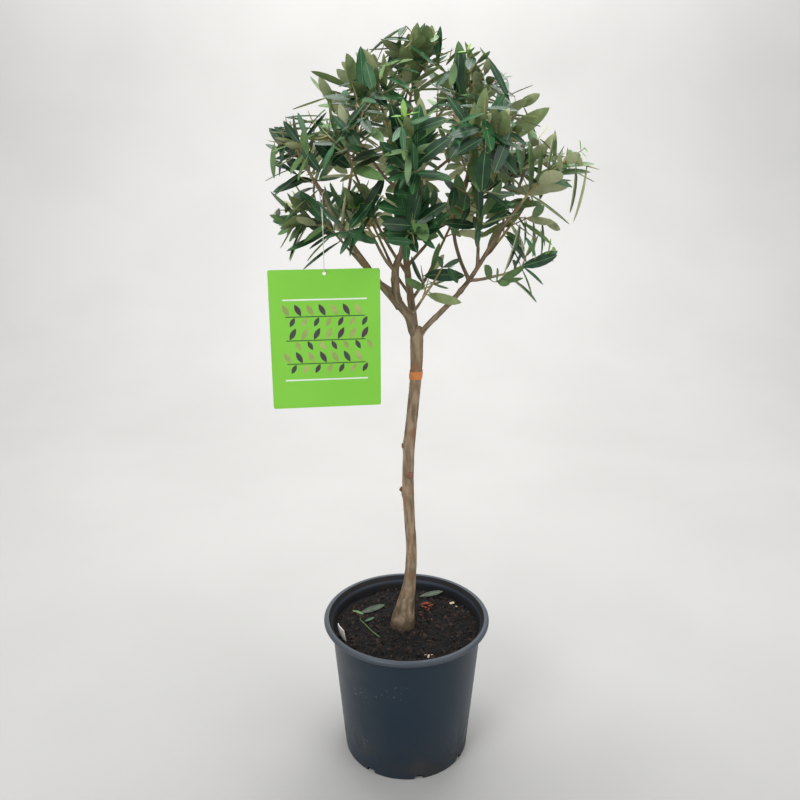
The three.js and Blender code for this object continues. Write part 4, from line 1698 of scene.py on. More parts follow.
@dataclass(frozen=True)
class LeafForm:
    """The outline and section of one leaf, one unit long and one unit wide.

    Attributes:
        outline: Share of the length and half width at each row, from the stalk to before the point.
        rib: Half width of the midrib against the leaf's width.
        thickness: Thickness against the leaf's length.
        keel: How far the midrib stands out below.
    """

    outline: tuple[tuple[float, float], ...] = (
        (0.0, 0.05), (0.06, 0.055), (0.15, 0.25), (0.3, 0.43), (0.48, 0.5), (0.66, 0.475), (0.82, 0.36),
        (0.94, 0.17),
    )
    rib: float = 0.022
    thickness: float = 0.011
    keel: float = 0.008

    def template(self) -> bpy.types.Object:
        """Builds the closed leaf that every spray repeats, with a side number on each face.

        Returns:
            A mesh object with leaf_side 0 on upper, 1 on lower and 2 on midrib faces, and leaf_spot, the
            share along and across the blade, on each vertex.
        """
        points, faces, sides = [], [], []
        for along, half in self.outline:
            rib = min(self.rib, half * 0.6)
            upper = self.thickness / 2
            points += [(along, -half, 0), (along, -rib, upper), (along, rib, upper), (along, half, 0),
                       (along, 0, -upper - self.keel)]
        tip = len(points)
        points.append((1, 0, 0))
        ring = [(0, 1, 0), (1, 2, 2), (2, 3, 0), (3, 4, 1), (4, 0, 1)]
        rows = len(self.outline)
        for row in range(rows):
            for a, b, side in ring:
                side = 2 if row == 0 else side
                near = [row * 5 + a, row * 5 + b]
                far = [tip] if row == rows - 1 else [(row + 1) * 5 + b, (row + 1) * 5 + a]
                faces.append(near[::-1] + far[::-1])
                sides.append(side)
        faces.append([0, 1, 2, 3, 4])
        sides.append(2)
        made = mesh_object("leaf_template", points, faces=faces)
        outward(made)
        set_attribute(made, "leaf_side", "INT", sides, "FACE")
        set_attribute(made, "leaf_spot", "FLOAT_VECTOR", [(v.co.x, v.co.y, 0) for v in made.data.vertices])
        made.data.shade_smooth()
        edges = made.data.attributes.new("sharp_edge", "BOOLEAN", "EDGE")
        side_of = {}
        for polygon in made.data.polygons:
            for key in polygon.edge_keys:
                side_of.setdefault(key, set()).add(sides[polygon.index])
        for edge in made.data.edges:
            edges.data[edge.index].value = side_of[edge.key] == {0, 1}
        return made


LEAF_SIDES = ("upper", "under", "rib")


class LeafSprays(GeometryRule):
    """Leaves on points: each point says how its leaf lies, bends, folds and which finishes it takes."""

    def __init__(self) -> None:
        """Builds the tree for the leaf finishes."""
        super().__init__("leaf_sprays", {"Leaf": ("Object", None)})
        wiring = self.wiring
        leaf = wiring.add("GeometryNodeObjectInfo", {"Object": self.input("Leaf"), "As Instance": True})
        turn = wiring.add("FunctionNodeAxesToRotation", {
            "Primary Axis": self.named("leaf_axis", "FLOAT_VECTOR"),
            "Secondary Axis": self.named("leaf_face", "FLOAT_VECTOR"),
        }, primary_axis="X", secondary_axis="Z")
        sprays = wiring.add("GeometryNodeInstanceOnPoints", {
            "Points": self.input("Geometry"), "Instance": leaf.outputs["Geometry"],
            "Rotation": turn.outputs["Rotation"], "Scale": self.named("leaf_size", "FLOAT_VECTOR"),
        }).outputs["Instances"]
        sprays = wiring.add("GeometryNodeRealizeInstances", {"Geometry": sprays}).outputs["Geometry"]
        spot = self.named("leaf_spot", "FLOAT_VECTOR")
        size = self.named("leaf_size", "FLOAT_VECTOR")
        along, long = wiring.part(spot, "X"), wiring.part(size, "X")
        beside = wiring.math("ABSOLUTE", wiring.part(spot, "Y"))
        arch = wiring.product(along, along, self.named("leaf_bend"), long)
        gutter = wiring.product(beside, self.named("leaf_fold"), wiring.part(size, "Y"))
        lift = self.scaled(self.named("leaf_face", "FLOAT_VECTOR"), wiring.math("ADD", arch, gutter))
        sway = wiring.product(along, along, self.named("leaf_sway"), long)
        sideways = self.scaled(self.named("leaf_across", "FLOAT_VECTOR"), sway)
        offset = wiring.vector("ADD", lift, Vector_001=sideways).outputs["Vector"]
        inputs = {"Geometry": sprays, "Offset": offset}
        sprays = wiring.add("GeometryNodeSetPosition", inputs).outputs["Geometry"]
        side = self.named("leaf_side", "INT")
        upper, under, rib = (
            wiring.product(wiring.math("COMPARE", side, float(number)), self.named("leaf_" + key))
            for number, key in enumerate(LEAF_SIDES)
        )
        chosen = wiring.math("ADD", wiring.math("ADD", upper, under), rib)
        picks = []
        for number, finish in enumerate(LEAF_FINISHES):
            inputs = {"A": chosen, "B": float(number), "Epsilon": 0.2}
            pick = wiring.add("FunctionNodeCompare", inputs, operation="EQUAL").outputs["Result"]
            picks.append((pick, material_of(finish)))
        self.close(sprays, picks)

    def lay(self, name: str, leaves: Sequence["LaidLeaf"]) -> bpy.types.Object:
        """Makes one plain mesh object of leaves.

        Args:
            name: The piece's name.
            leaves: The leaves as they are laid.

        Returns:
            The plain mesh object.
        """
        template = LeafForm().template()
        made = mesh_object(name, [leaf.root * MM for leaf in leaves])
        for key, values in (
            ("axis", [leaf.axis for leaf in leaves]), ("face", [leaf.facing for leaf in leaves]),
            ("across", [np.cross(leaf.facing, leaf.axis) for leaf in leaves]),
            ("size", [np.array([leaf.length, leaf.width, leaf.length]) * MM for leaf in leaves]),
        ):
            set_attribute(made, "leaf_" + key, "FLOAT_VECTOR", values)
        for key in ("bend", "fold", "sway"):
            set_attribute(made, "leaf_" + key, "FLOAT", [getattr(leaf, key) for leaf in leaves])
        for key in LEAF_SIDES:
            set_attribute(made, "leaf_" + key, "FLOAT", [getattr(leaf, key).value for leaf in leaves])
        made = self.apply(made, {"Leaf": template})
        bpy.data.objects.remove(template)
        return made


@dataclass(frozen=True)
class LaidLeaf:
    """A leaf as it is laid: its place, size and bends, and the finishes of its two faces and its midrib."""

    root: Point
    axis: Point
    facing: Point
    length: float
    width: float
    bend: float
    fold: float
    sway: float
    upper: Tone
    under: Tone
    rib: Tone


@dataclass
class Crown:
    """Foliage and twigs that stand for the part's masses.

    Attributes:
        tree: The limbs that it grows on.
        slender: Least and greatest width of a leaf against its length.
        stretch: Length of a leaf against the length that it grew to.
        settle: How far a leaf turns its face outwards and up from where it grew.
        bend: Least and greatest rise of a leaf's point, as a share of its length.
        fold: Least and greatest rise of a leaf's edges above its midrib.
        sway: Greatest bend sideways.
        seed: Seed of the tones and bends.
        tone_shares: Upper finishes of the sprays, each with its share added to those before it.
        pale_share: Share of the sprays that are pale below.
        bud: Radius of a twig's bud against the twig's tip.
    """

    tree: Tree
    slender: tuple[float, float] = (0.22, 0.34)
    stretch: float = 1.17
    settle: float = 0.6
    bend: tuple[float, float] = (-0.16, 0.08)
    fold: tuple[float, float] = (0.02, 0.3)
    sway: float = 0.07
    seed: int = 77
    tone_shares: tuple[tuple[Tone, float], ...] = ((Tone.DEEP, 0.42), (Tone.MID, 0.78), (Tone.OLIVE, 1.0))
    pale_share: float = 0.55
    bud: float = 0.45

    def laid(self, leaf: Leaf, random: Stream, tones: dict[int, tuple[Tone, Tone]]) -> LaidLeaf:
        """Gives a leaf its width, bends and finishes.

        Args:
            leaf: The leaf as grown.
            random: Where the numbers come from.
            tones: Upper and lower finish of each spray so far.

        Returns:
            The leaf as it is laid.
        """
        if leaf.spray not in tones:
            pick = random.draw()
            upper = next(tone for tone, share in self.tone_shares if pick <= share)
            under = Tone.PALE_UNDER if random.draw() < self.pale_share else Tone.OLIVE_UNDER
            tones[leaf.spray] = (upper, under)
        upper, under = tones[leaf.spray]
        finishes = (Tone.YOUNG, Tone.YOUNG, Tone.YOUNG) if leaf.young else (upper, under, Tone.RIB)
        length = float(np.linalg.norm(leaf.tip - leaf.root)) * self.stretch_of(leaf)
        width = length * lerp(*self.slender, random.draw())
        bend = lerp(*self.bend, random.draw())
        fold = lerp(*self.fold, random.draw())
        sway = 2 * self.sway * random.jitter()
        axis = unit(leaf.tip - leaf.root)
        facing = leaf.facing + self.settle * (unit(leaf.root - np.array(RULE.light)) + RULE.up * UP)
        facing = unit(facing - axis * (facing @ axis))
        return LaidLeaf(leaf.root, axis, facing, length, width, bend, fold, sway, *finishes)

    def stretch_of(self, leaf: Leaf) -> float:
        """Keeps a stretched leaf's point in the part's box and clear of the tag.

        Args:
            leaf: The leaf as grown.

        Returns:
            The stretch, or one where the point would be out of bounds.
        """
        tip = lerp(leaf.root, leaf.tip, self.stretch)
        low, high = np.array(cad_box) / MM
        fits = np.all(tip > low) and np.all(tip < high) and not self.tree.near_tag(np.array([tip]))
        return self.stretch if fits else 1.0

    def build(self, tubes: LimbTubes, sprays: LeafSprays) -> None:
        """Grows every mass and makes its leaves and twigs.

        Args:
            tubes: The rule that makes round limbs.
            sprays: The rule that makes leaves.
        """
        growths = [Growth(self.tree, mass) for mass in MASSES]
        random = Stream(self.seed)
        tones: dict[int, tuple[Tone, Tone]] = {}
        leaves = [self.laid(leaf, random, tones) for growth in growths for leaf in growth.leaves]
        lines = [self.fine_line(*twig) for growth in growths for twig in growth.twigs]
        log.info("crown: %d leaves on %d twigs", len(leaves), len(lines))
        nodes = ["foliage_" + mass.name for mass in MASSES]
        place(sprays.lay("leaves", leaves), Slot.LEAF, *nodes)
        place(tubes.grow("twigs", lines, Make(6, 0.0002, 500), TWIG_BARK), Slot.BARK, *nodes)

    def fine_line(self, points: Sequence[Point], radii: Sequence[float]) -> Line:
        """Rounds a twig's line and draws its tip to a bud.

        Args:
            points: The points along it.
            radii: A radius at each.

        Returns:
            The finer line.
        """
        curve = Curve(np.array(points))
        shares = np.linspace(0, 1, max(3, 2 * (len(points) - 1)) + 1)
        girths = np.interp(shares, np.linspace(0, 1, len(radii)), radii)
        girths[-1] *= self.bud
        return [curve.at(share) for share in shares], girths


@dataclass(frozen=True)
class Stub:
    """A pruned shoot: its height, turn in degrees, length, radius and rise."""

    height: float
    turn: float
    length: float
    radius: float
    rise: float


@dataclass
class Limbs:
    """Trunk and boughs in bark, with the scars of pruned shoots.

    Attributes:
        tree: The limbs.
        sides: Points round the trunk.
        row: Distance between rows of points up the trunk.
        stubs: The pruned shoots.
        collar_height: How far the bark swells round a stub.
        collar_width: How far the swelling reaches past the stub's radius.
        collar_squash: The swelling's width against its height.
        collar_fade: How fast the swelling fades out.
        dome: Height of the trunk's rounded top in the crotch.
        lumps: Scale across, scale along and depth of the bark's lumps, as a share of the radius.
        ridges: The same for its ridges.
        fissures: The same for its fissures, with the depth in millimetres.
        bough_step: Distance between points along a bough.
        knuckle_gap: Length of bough to a knuckle.
        knuckle_swell: How far a bough swells at a knuckle, as a share of its radius.
        knuckle_reach: How far the knuckle reaches along it.
        fork_share: Share of its radius with which a bough starts in the fork.
        fork_reach: Length over which such a bough would gain one radius.
        base_swell: How far another bough swells where it leaves its parent, as a share of its radius.
        base_reach: How far that swelling reaches along it.
    """

    tree: Tree
    sides: int = 44
    row: float = 2.2
    stubs: tuple[Stub, ...] = (
        Stub(471, 172, 9, 4.6, 0.6), Stub(507, 285, 3.4, 6.8, 0.1), Stub(555, 190, 3, 4.6, 0.1),
        Stub(612, 60, 3, 4.4, 0.3),
    )
    collar_height: float = 2.2
    collar_width: float = 2.5
    collar_squash: float = 0.8
    collar_fade: float = 1.6
    dome: float = 5
    lumps: tuple[float, float, float] = (0.05, 0.022, 0.035)
    ridges: tuple[float, float, float] = (0.32, 0.06, 0.025)
    fissures: tuple[float, float, float] = (0.9, 0.16, 0.32)
    bough_step: float = 3
    knuckle_gap: float = 45
    knuckle_swell: float = 0.13
    knuckle_reach: float = 3.2
    fork_share: float = 0.55
    fork_reach: float = 32
    base_swell: float = 0.4
    base_reach: float = 6

    @staticmethod
    def uneven(spot: Point, form: tuple[float, float, float]) -> float:
        """Returns the unevenness of the bark at a spot, from its scale across, scale along and depth."""
        across, along, depth = form
        return depth * noise.noise(Vector(spot * (across, across, along)))

    def trunk_point(self, share: float, turn: float) -> tuple[Point, Point]:
        """Finds a point of the trunk's bark.

        Args:
            share: Share of the trunk's line.
            turn: Turn about it in radians.

        Returns:
            The middle of the trunk there, and the point.
        """
        centre = self.tree.limbs["trunk"].curve.at(share)
        radius = TRUNK.radius(share) * TRUNK.swell(turn, centre[2])
        side = level(turn)
        spot = centre + side * radius
        radius *= 1 + self.uneven(spot, self.lumps) + self.uneven(spot, self.ridges)
        radius += self.uneven(spot, self.fissures)
        for stub in self.stubs:
            around = (turn - math.radians(stub.turn) + math.pi) % (2 * math.pi) - math.pi
            up = (centre[2] - stub.height) * self.collar_squash
            away = math.hypot(around * radius, up) / (stub.radius + self.collar_width)
            radius += self.collar_height * math.exp(-(away**2) * self.collar_fade)
        return centre, centre + side * radius

    def trunk(self) -> bpy.types.Object:
        """Builds the trunk from rings of points, flat at the foot and rounded off in the crotch.

        Returns:
            The mesh object.
        """
        foot, top = TRUNK.stations[0][2], TRUNK.stations[-1][2]
        rows = int((top - foot) / self.row)
        rings, places = [], []
        for row in range(rows + 1):
            found = [self.trunk_point(row / rows, turn) for turn in turns_of(self.sides)]
            rings.append([spot for _, spot in found])
            places.extend(spot - [*centre[:2], foot] for centre, spot in found)
        last, tip = rings[-1], self.tree.limbs["trunk"].curve.at(1)
        for turn in np.radians((22.5, 45, 67.5)):
            ring = [tip + (spot - tip) * math.cos(turn) for spot in last]
            for spot in ring:
                spot[2] = tip[2] + self.dome * math.sin(turn)
            rings.append(ring)
            places.extend(spot - [*tip[:2], foot] for spot in ring)
        made = lofted("trunk_bark", [rings])
        set_attribute(made, "bark_place", "FLOAT_VECTOR", np.array(places) * MM)
        return dressed(made, TRUNK_BARK, 60)

    def stub_line(self, stub: Stub) -> Line:
        """Returns the line of one pruned stub, from inside the trunk to its cut.

        Args:
            stub: The stub.

        Returns:
            Its line.
        """
        foot, top = TRUNK.stations[0][2], TRUNK.stations[-1][2]
        share = (stub.height - foot) / (top - foot)
        centre = np.array([*self.tree.limbs["trunk"].curve.at(share)[:2], stub.height])
        out = unit(level(math.radians(stub.turn)) + UP * stub.rise)
        bark = TRUNK.radius(share)
        line = [centre + out * lerp(bark * 0.3, bark + stub.length, along) for along in (0.3, 0.8, 0.96, 1.0)]
        return line, [stub.radius * narrow for narrow in (1, 0.92, 0.8, 0.55)]

    def bough_line(self, limb: Limb) -> Line:
        """Returns a bough's line, with a collar where it leaves its parent and a knuckle now and then.

        Args:
            limb: The bough.

        Returns:
            Its line.
        """
        length = limb.curve.length(20)
        steps = max(6, int(length / self.bough_step))
        random = Stream(len(limb.name) * 131 + steps)
        knuckles = [0.15 + 0.75 * random.draw() for _ in range(int(length / self.knuckle_gap) + 1)]
        points, radii = [], []
        for share in np.linspace(0, 1, steps + 1):
            radius = limb.radius(share)
            if limb.name in FORK_BOUGHS:
                radius *= min(1, self.fork_share + share * length / self.fork_reach)
            else:
                radius *= 1 + self.base_swell * math.exp(-share * length / self.base_reach)
            apart = [(share - at) * length / self.knuckle_reach for at in knuckles]
            radius *= 1 + sum(self.knuckle_swell * math.exp(-(away**2)) for away in apart)
            points.append(limb.curve.at(share))
            radii.append(radius)
        return points, radii

    def build(self, tubes: LimbTubes) -> None:
        """Makes the trunk, the stubs and the boughs with the rule that makes round limbs.

        Args:
            tubes: The rule.
        """
        place(self.trunk(), Slot.BARK, "trunk")
        stubs = [self.stub_line(stub) for stub in self.stubs]
        place(tubes.grow("pruned_stubs", stubs, Make(14, 0.0008, 300), CUT_WOOD), Slot.BARK)
        main = [bough.name for bough in BOUGHS]
        side = [mass.tip_of for mass in MASSES if mass.at is not None]
        for name, limbs, make in (
            ("main_boughs", main, Make(18, 0.0007, 230)), ("side_boughs", side, Make(10, 0.0004, 230)),
        ):
            lines = [self.bough_line(self.tree.limbs[limb]) for limb in limbs]
            place(tubes.grow(name, lines, make, BOUGH_BARK), Slot.BARK, *limbs)


FORK_BOUGHS = tuple(bough.name for bough in BOUGHS if bough.parent == "trunk")


@dataclass
class Pot:
    """Nursery pot, in millimetres.

    Attributes:
        height: Its height.
        lip_radius: Outer radius of its rolled lip.
        lip_height: Height of the lip.
        lip_roll: Radius of the roll.
        wall_top: Outer radius of the wall below the lip.
        wall_foot: Outer radius of the wall at the foot.
        wall: Thickness of the wall and the floor.
        notches: Drain notches at the foot.
        notch_width: Width of a notch.
        notch_height: Height of a notch.
        notch_round: Height of its rounded top.
        notch_depth: How far the cut goes in and out from the wall's foot.
        first_notch: Turn of the first notch in degrees.
        segments: Faces round the pot.
    """

    height: float = 250
    lip_radius: float = 140
    lip_height: float = 9
    lip_roll: float = 4.5
    wall_top: float = 127
    wall_foot: float = 107
    wall: float = 3
    notches: int = 8
    notch_width: float = 15
    notch_height: float = 9
    notch_round: float = 4
    notch_depth: float = 9
    first_notch: float = -79
    segments: int = 144

    def profile(self) -> list[tuple[float, float]]:
        """Returns radius and height round the section, from the underside over the lip to the floor.

        Returns:
            A radius and a height for each corner.
        """
        shoulder = self.height - self.lip_height
        roll = self.lip_roll
        inner_top = self.wall_top - self.wall
        foot, top = self.wall_foot, self.wall_top
        outer = [(60, 0.6), (64, 0), (foot - 2.5, 0), (foot - 0.8, 0.7), (foot, 2.5),
                 (lerp(foot, top, 0.5), shoulder / 2), (top - 0.8, shoulder - 10), (top, shoulder - 2),
                 (top + 1.5, shoulder), (self.lip_radius - 2, shoulder)]
        bulge = [(self.lip_radius - roll + roll * math.cos(turn), shoulder + roll + roll * math.sin(turn))
                 for turn in np.radians(range(-60, 91, 25))]
        inner = [(self.lip_radius - 8, self.height - 0.4), (self.lip_radius - 9.5, self.height - 2),
                 (inner_top + 1.6, self.height - 12), (inner_top + 0.4, self.height - 15.5),
                 (inner_top, self.height - 19), (self.wall_foot - self.wall, self.wall)]
        return outer + bulge + inner

    def build(self) -> None:
        """Turns the section, then cuts the drain notches at the foot."""
        rings = [[level(turn) * radius + UP * height for turn in turns_of(self.segments)]
                 for radius, height in self.profile()]
        pot = lofted("pot_shell", [rings])
        cutter = lofted("notch_cutter", [self.notch(k) for k in range(self.notches)])
        cut = pot.modifiers.new("notches", "BOOLEAN")
        cut.object = cutter
        cut.operation = "DIFFERENCE"
        cut.solver = "EXACT"
        pot = baked(pot)
        bpy.data.objects.remove(cutter)
        place(dressed(pot, PotFinish(), 38), Slot.POT, "pot")

    def notch(self, number: int) -> list[list[Point]]:
        """Returns the two ends of the round-topped block that cuts one notch.

        Args:
            number: The notch's place in the row round the foot.

        Returns:
            The outline of each end.
        """
        half = self.notch_width / 2
        arc = [(half * math.cos(turn), self.notch_height - self.notch_round * (1 - math.sin(turn)))
               for turn in np.radians(range(0, 181, 30))]
        outline = [(-half, -5), (half, -5), *arc]
        out = level(math.radians(self.first_notch + 360 * number / self.notches))
        beside = np.cross(UP, out)
        return [[out * (self.wall_foot + depth) + beside * x + UP * z for x, z in outline]
                for depth in (-self.notch_depth, self.notch_depth)]


@dataclass
class Soil:
    """Potting soil with crumbs, fibres and litter, in millimetres.

    Attributes:
        level: Its mean level.
        rim: Its radius at the pot's wall.
        foot: Height of its underside.
        foot_radius: Its radius there.
        ring: Distance between rings of points on its top.
        segments: Points round a ring.
        crumb_density: Crumbs to the square metre.
        crumb_size: Least and greatest radius of a crumb in metres.
        crumb_reach: How far from the middle crumbs lie, in metres.
        crumb_floor: Height in metres above which they lie.
        fibres_strewn: Number of fibres.
        seed: Seed of all that is strewn.
        unevenness: Place in the noise, scale and depth of the slopes, the lumps and the crumbs.
        mound: Height and width of the mound round the trunk's foot.
        edge_drop: How far the soil falls off at the pot's wall.
        edge_start: Share of the rim from where it falls off.
        crumb_lumps: How far a crumb's lumps stand out, as a share of its radius.
        crumb_height: Height of a crumb against its width.
        fibre_points: Points along a fibre.
        fibre_length: Least and greatest length of a fibre.
        fibre_girth: Least and greatest radius of a fibre.
        fibre_lift: Least and greatest height of its points above the soil.
        fibre_curl: Greatest turn from one point to the next, in radians, to both sides together.
        chip_parts: Length of a splinter against its half length, half width and half height.
        chip_lift: Height of a splinter above the soil.
        chip_tilt: Rise of a splinter along its length.
        leaf_lift: Height of a fallen leaf above the soil.
        leaf_form: Width, bend, fold and sway of a fallen leaf against its length.
    """

    level: float = 226
    rim: float = 123.2
    foot: float = 3.3
    foot_radius: float = 103.6
    ring: float = 2.4
    segments: int = 150
    crumb_density: float = 36000
    crumb_size: tuple[float, float] = (0.0007, 0.0052)
    crumb_reach: float = 0.119
    crumb_floor: float = 0.2
    fibres_strewn: int = 90
    seed: int = 5
    unevenness: tuple[tuple[float, float, float], ...] = ((0, 0.018, 4.5), (40, 0.075, 3.0), (80, 0.24, 1.5))
    mound: tuple[float, float] = (3.5, 34)
    edge_drop: float = 2.5
    edge_start: float = 0.86
    crumb_lumps: float = 0.55
    crumb_height: float = 0.7
    fibre_points: int = 7
    fibre_length: tuple[float, float] = (5, 20)
    fibre_girth: tuple[float, float] = (0.18, 0.43)
    fibre_lift: tuple[float, float] = (0.5, 1.4)
    fibre_curl: float = 0.5
    chip_parts: tuple[float, float, float] = (2, 4.5, 8)
    chip_lift: float = 1.2
    chip_tilt: float = 0.12
    leaf_lift: float = 3.2
    leaf_form: tuple[float, float, float, float] = (0.22, -0.07, 0.12, 0.04)

    def height(self, x: float, y: float) -> float:
        """Returns the level of the soil at a place.

        Args:
            x: The place.
            y: The place.

        Returns:
            The level.
        """
        uneven = sum(depth * noise.noise(Vector((x, y, lift)) * scale)
                     for lift, scale, depth in self.unevenness)
        rise, width = self.mound
        mound = rise * math.exp(-((math.dist((x, y), TRUNK.stations[0][:2]) / width) ** 2))
        over = max(0, math.hypot(x, y) / self.rim - self.edge_start)
        return self.level + uneven + mound - self.edge_drop * over / (1 - self.edge_start)

    def on_top(self, x: float, y: float, lift: float) -> Point:
        """Returns the point at a height above the soil."""
        return np.array([x, y, self.height(x, y) + lift])

    def surface(self) -> bpy.types.Object:
        """Builds the closed body of soil, rough on top.

        Returns:
            The mesh object.
        """
        count = int(self.rim / self.ring)
        sides = [level(turn) for turn in turns_of(self.segments)]
        rings = [[self.on_top(*(side[:2] * radius), 0) for side in sides]
                 for radius in self.rim * np.arange(1, count + 1) / count]
        rings.append([side * self.foot_radius + UP * self.foot for side in sides])
        return dressed(lofted("soil_surface", [rings]), PEAT, 70)

    def crumb_shapes(self) -> bpy.types.Collection:
        """Builds three lumpy crumbs for the scatter to pick from.

        Returns:
            The collection that holds them.
        """
        shapes = bpy.data.collections.new("crumb_shapes")
        points, faces = icosphere(1)
        for number in range(3):
            shift = Vector((number * 9, 0, 0))
            lumpy = [spot * (1 + self.crumb_lumps * noise.noise(spot * 1.7 + shift)) for spot in points]
            flat = [(x, y, z * self.crumb_height) for x, y, z in lumpy]
            crumb = mesh_object(f"crumb_{number}", flat, faces=faces)
            bpy.context.scene.collection.objects.unlink(crumb)
            shapes.objects.link(crumb)
        return shapes

    def crumbs(self, surface: bpy.types.Object) -> bpy.types.Object:
        """Scatters crumbs over the top of the soil.

        Args:
            surface: The body of soil.

        Returns:
            The plain mesh object of the crumbs.
        """
        rule = GeometryRule("soil_crumbs", {
            "Shapes": ("Collection", None), "Density": ("Float", 1000.0), "Smallest": ("Float", 0.001),
            "Largest": ("Float", 0.003), "Seed": ("Int", 0), "Earth": ("Material", None),
        })
        wiring = rule.wiring
        spot = wiring.add("GeometryNodeInputPosition").outputs["Position"]
        high = wiring.math("GREATER_THAN", wiring.part(spot, "Z"), self.crumb_floor)
        top = wiring.product(high, wiring.math("LESS_THAN", wiring.away(spot), self.crumb_reach))
        spots = wiring.add("GeometryNodeDistributePointsOnFaces", {
            "Mesh": rule.input("Geometry"), "Selection": top, "Density": rule.input("Density"),
            "Seed": rule.input("Seed"),
        })
        shapes = wiring.add("GeometryNodeCollectionInfo", {
            "Collection": rule.input("Shapes"), "Separate Children": True, "Reset Children": True,
        })
        inputs = {"Min_001": 0.0, "Max_001": 1.0, "Seed": 3}
        chance = wiring.add("FunctionNodeRandomValue", inputs, data_type="FLOAT")
        small = wiring.math("POWER", wiring.socket(chance.outputs, "Value_001"), 3.0)
        span = wiring.math("SUBTRACT", rule.input("Largest"), rule.input("Smallest"))
        size = wiring.math("ADD", rule.input("Smallest"), wiring.product(small, span))
        turn = wiring.add("FunctionNodeRandomValue", {
            "Min": (0.0, 0.0, 0.0), "Max": (6.28, 6.28, 6.28), "Seed": 4,
        }, data_type="FLOAT_VECTOR").outputs["Value"]
        rotation = wiring.add("FunctionNodeEulerToRotation", {"Euler": turn}).outputs["Rotation"]
        scattered = wiring.add("GeometryNodeInstanceOnPoints", {
            "Points": spots.outputs["Points"], "Instance": shapes.outputs["Instances"], "Pick Instance": True,
            "Rotation": rotation, "Scale": rule.scaled((1.0, 1.0, 1.0), size),
        }).outputs["Instances"]
        rule.close(scattered, [(None, rule.input("Earth"))])
        host = bpy.data.objects.new("soil_crumbs", surface.data.copy())
        bpy.context.scene.collection.objects.link(host)
        host.data.materials.clear()
        collection = self.crumb_shapes()
        made = rule.apply(host, {
            "Shapes": collection, "Density": self.crumb_density, "Smallest": self.crumb_size[0],
            "Largest": self.crumb_size[1], "Seed": self.seed, "Earth": material_of(CRUMB),
        })
        for shape in list(collection.objects):
            bpy.data.objects.remove(shape)
        bpy.data.collections.remove(collection)
        return made

    def fibres(self) -> list[Line]:
        """Strews short curled fibres over the soil.

        Returns:
            Their lines.
        """
        random = Stream(self.seed)
        lines = []
        for _ in range(self.fibres_strewn):
            turn = 2 * math.pi * random.draw()
            away = (self.rim - 9) * math.sqrt(random.draw())
            heading = 2 * math.pi * random.draw()
            curl = random.jitter() * self.fibre_curl
            step = lerp(*self.fibre_length, random.draw()) / self.fibre_points
            x, y = away * math.cos(turn), away * math.sin(turn)
            line = []
            for _ in range(self.fibre_points):
                line.append(self.on_top(x, y, lerp(*self.fibre_lift, random.draw())))
                x += step * math.cos(heading)
                y += step * math.sin(heading)
                heading += curl
                if math.hypot(x, y) > self.rim - 2:
                    break
            if len(line) > 2:
                girth = lerp(*self.fibre_girth, random.draw())
                lines.append((line, [girth] * len(line)))
        return lines

    def chips(self, name: str, spots: Sequence[tuple[float, float, float]], finish: Finish) -> None:
        """Lays flat splinters on the soil.

        Args:
            name: The piece's name.
            spots: x, y and length of each splinter.
            finish: Their finish.
        """
        random = Stream(len(spots) * 17 + self.seed)
        ball, ball_faces = icosphere(2)
        points, faces = [], []
        for x, y, length in spots:
            faces.extend(tuple(len(points) + k for k in face) for face in ball_faces)
            ahead = level(math.pi * random.draw())
            for spot in ball:
                form = spot * (1 + 0.5 * noise.noise(spot * 1.6 + Vector((x, y, 0)))) * length
                along, beside, up = (size / part for size, part in zip(form, self.chip_parts))
                middle = self.on_top(x, y, self.chip_lift + up + self.chip_tilt * along)
                points.append(middle + ahead * along + np.cross(UP, ahead) * beside)
        place(dressed(mesh_object(name, np.array(points) * MM, faces=faces), finish, 20), Slot.SOIL)

    def fallen_leaf(self, x: float, y: float, turn: float, length: float, face: float,
                    tone: Tone) -> LaidLeaf:
        """Lays a leaf flat on the soil.

        Args:
            x: Place of its foot.
            y: Place of its foot.
            turn: Its heading in degrees.
            length: Its length.
            face: Upward share of its facing.
            tone: Its finish.

        Returns:
            The leaf as it is laid.
        """
        axis = unit(level(math.radians(turn)) + UP * 0.1)
        facing = unit(np.array([0.15, -0.35, face]))
        facing = unit(facing - axis * (facing @ axis))
        root = self.on_top(x, y, self.leaf_lift)
        slender, *bends = self.leaf_form
        return LaidLeaf(root, axis, facing, length, length * slender, *bends, tone, tone, Tone.RIB)

    def build(self, tubes: LimbTubes, sprays: LeafSprays) -> None:
        """Makes the soil and what lies on it.

        Args:
            tubes: The rule that makes round limbs.
            sprays: The rule that makes leaves.
        """
        surface = self.surface()
        crumbs = self.crumbs(surface)
        place(surface, Slot.SOIL, "soil")
        place(crumbs, Slot.SOIL)
        place(tubes.grow("soil_fibres", self.fibres(), Make(4, 0.00005, 900), FIBRE), Slot.SOIL)
        self.chips("red_bark_chips", RED_SPOTS, RED_BARK)
        self.chips("pale_chips", PALE_SPOTS, PALE_CHIP)
        leaves = [self.fallen_leaf(*leaf) for leaf in FALLEN]
        place(sprays.lay("fallen_leaves", leaves), Slot.LEAF)
        shoot = ([self.on_top(*spot) for spot in FALLEN_SHOOT], [1.1, 1.0, 0.9, 0.8, 0.7])
        place(tubes.grow("fallen_shoot", [shoot], Make(8, 0.0001, 500), GREEN_STEM), Slot.BARK)


# x, y, heading in degrees, length, upward share of the facing and finish of each fallen leaf
FALLEN = (
    (24, 88, 14, 46, 0.9, Tone.FALLEN), (-82, 34, 24, 50, 0.85, Tone.FALLEN),
    (-74, 30, 150, 24, 0.8, Tone.OLIVE), (-72, 6, 30, 20, 0.8, Tone.MID),
)
# x, y and height above the soil of the points of the fallen shoot
FALLEN_SHOOT = ((-45, -34, 1.6), (-58, -18, 2.6), (-72, 0, 3.2), (-80, 12, 3.4), (-78, 30, 3.0))
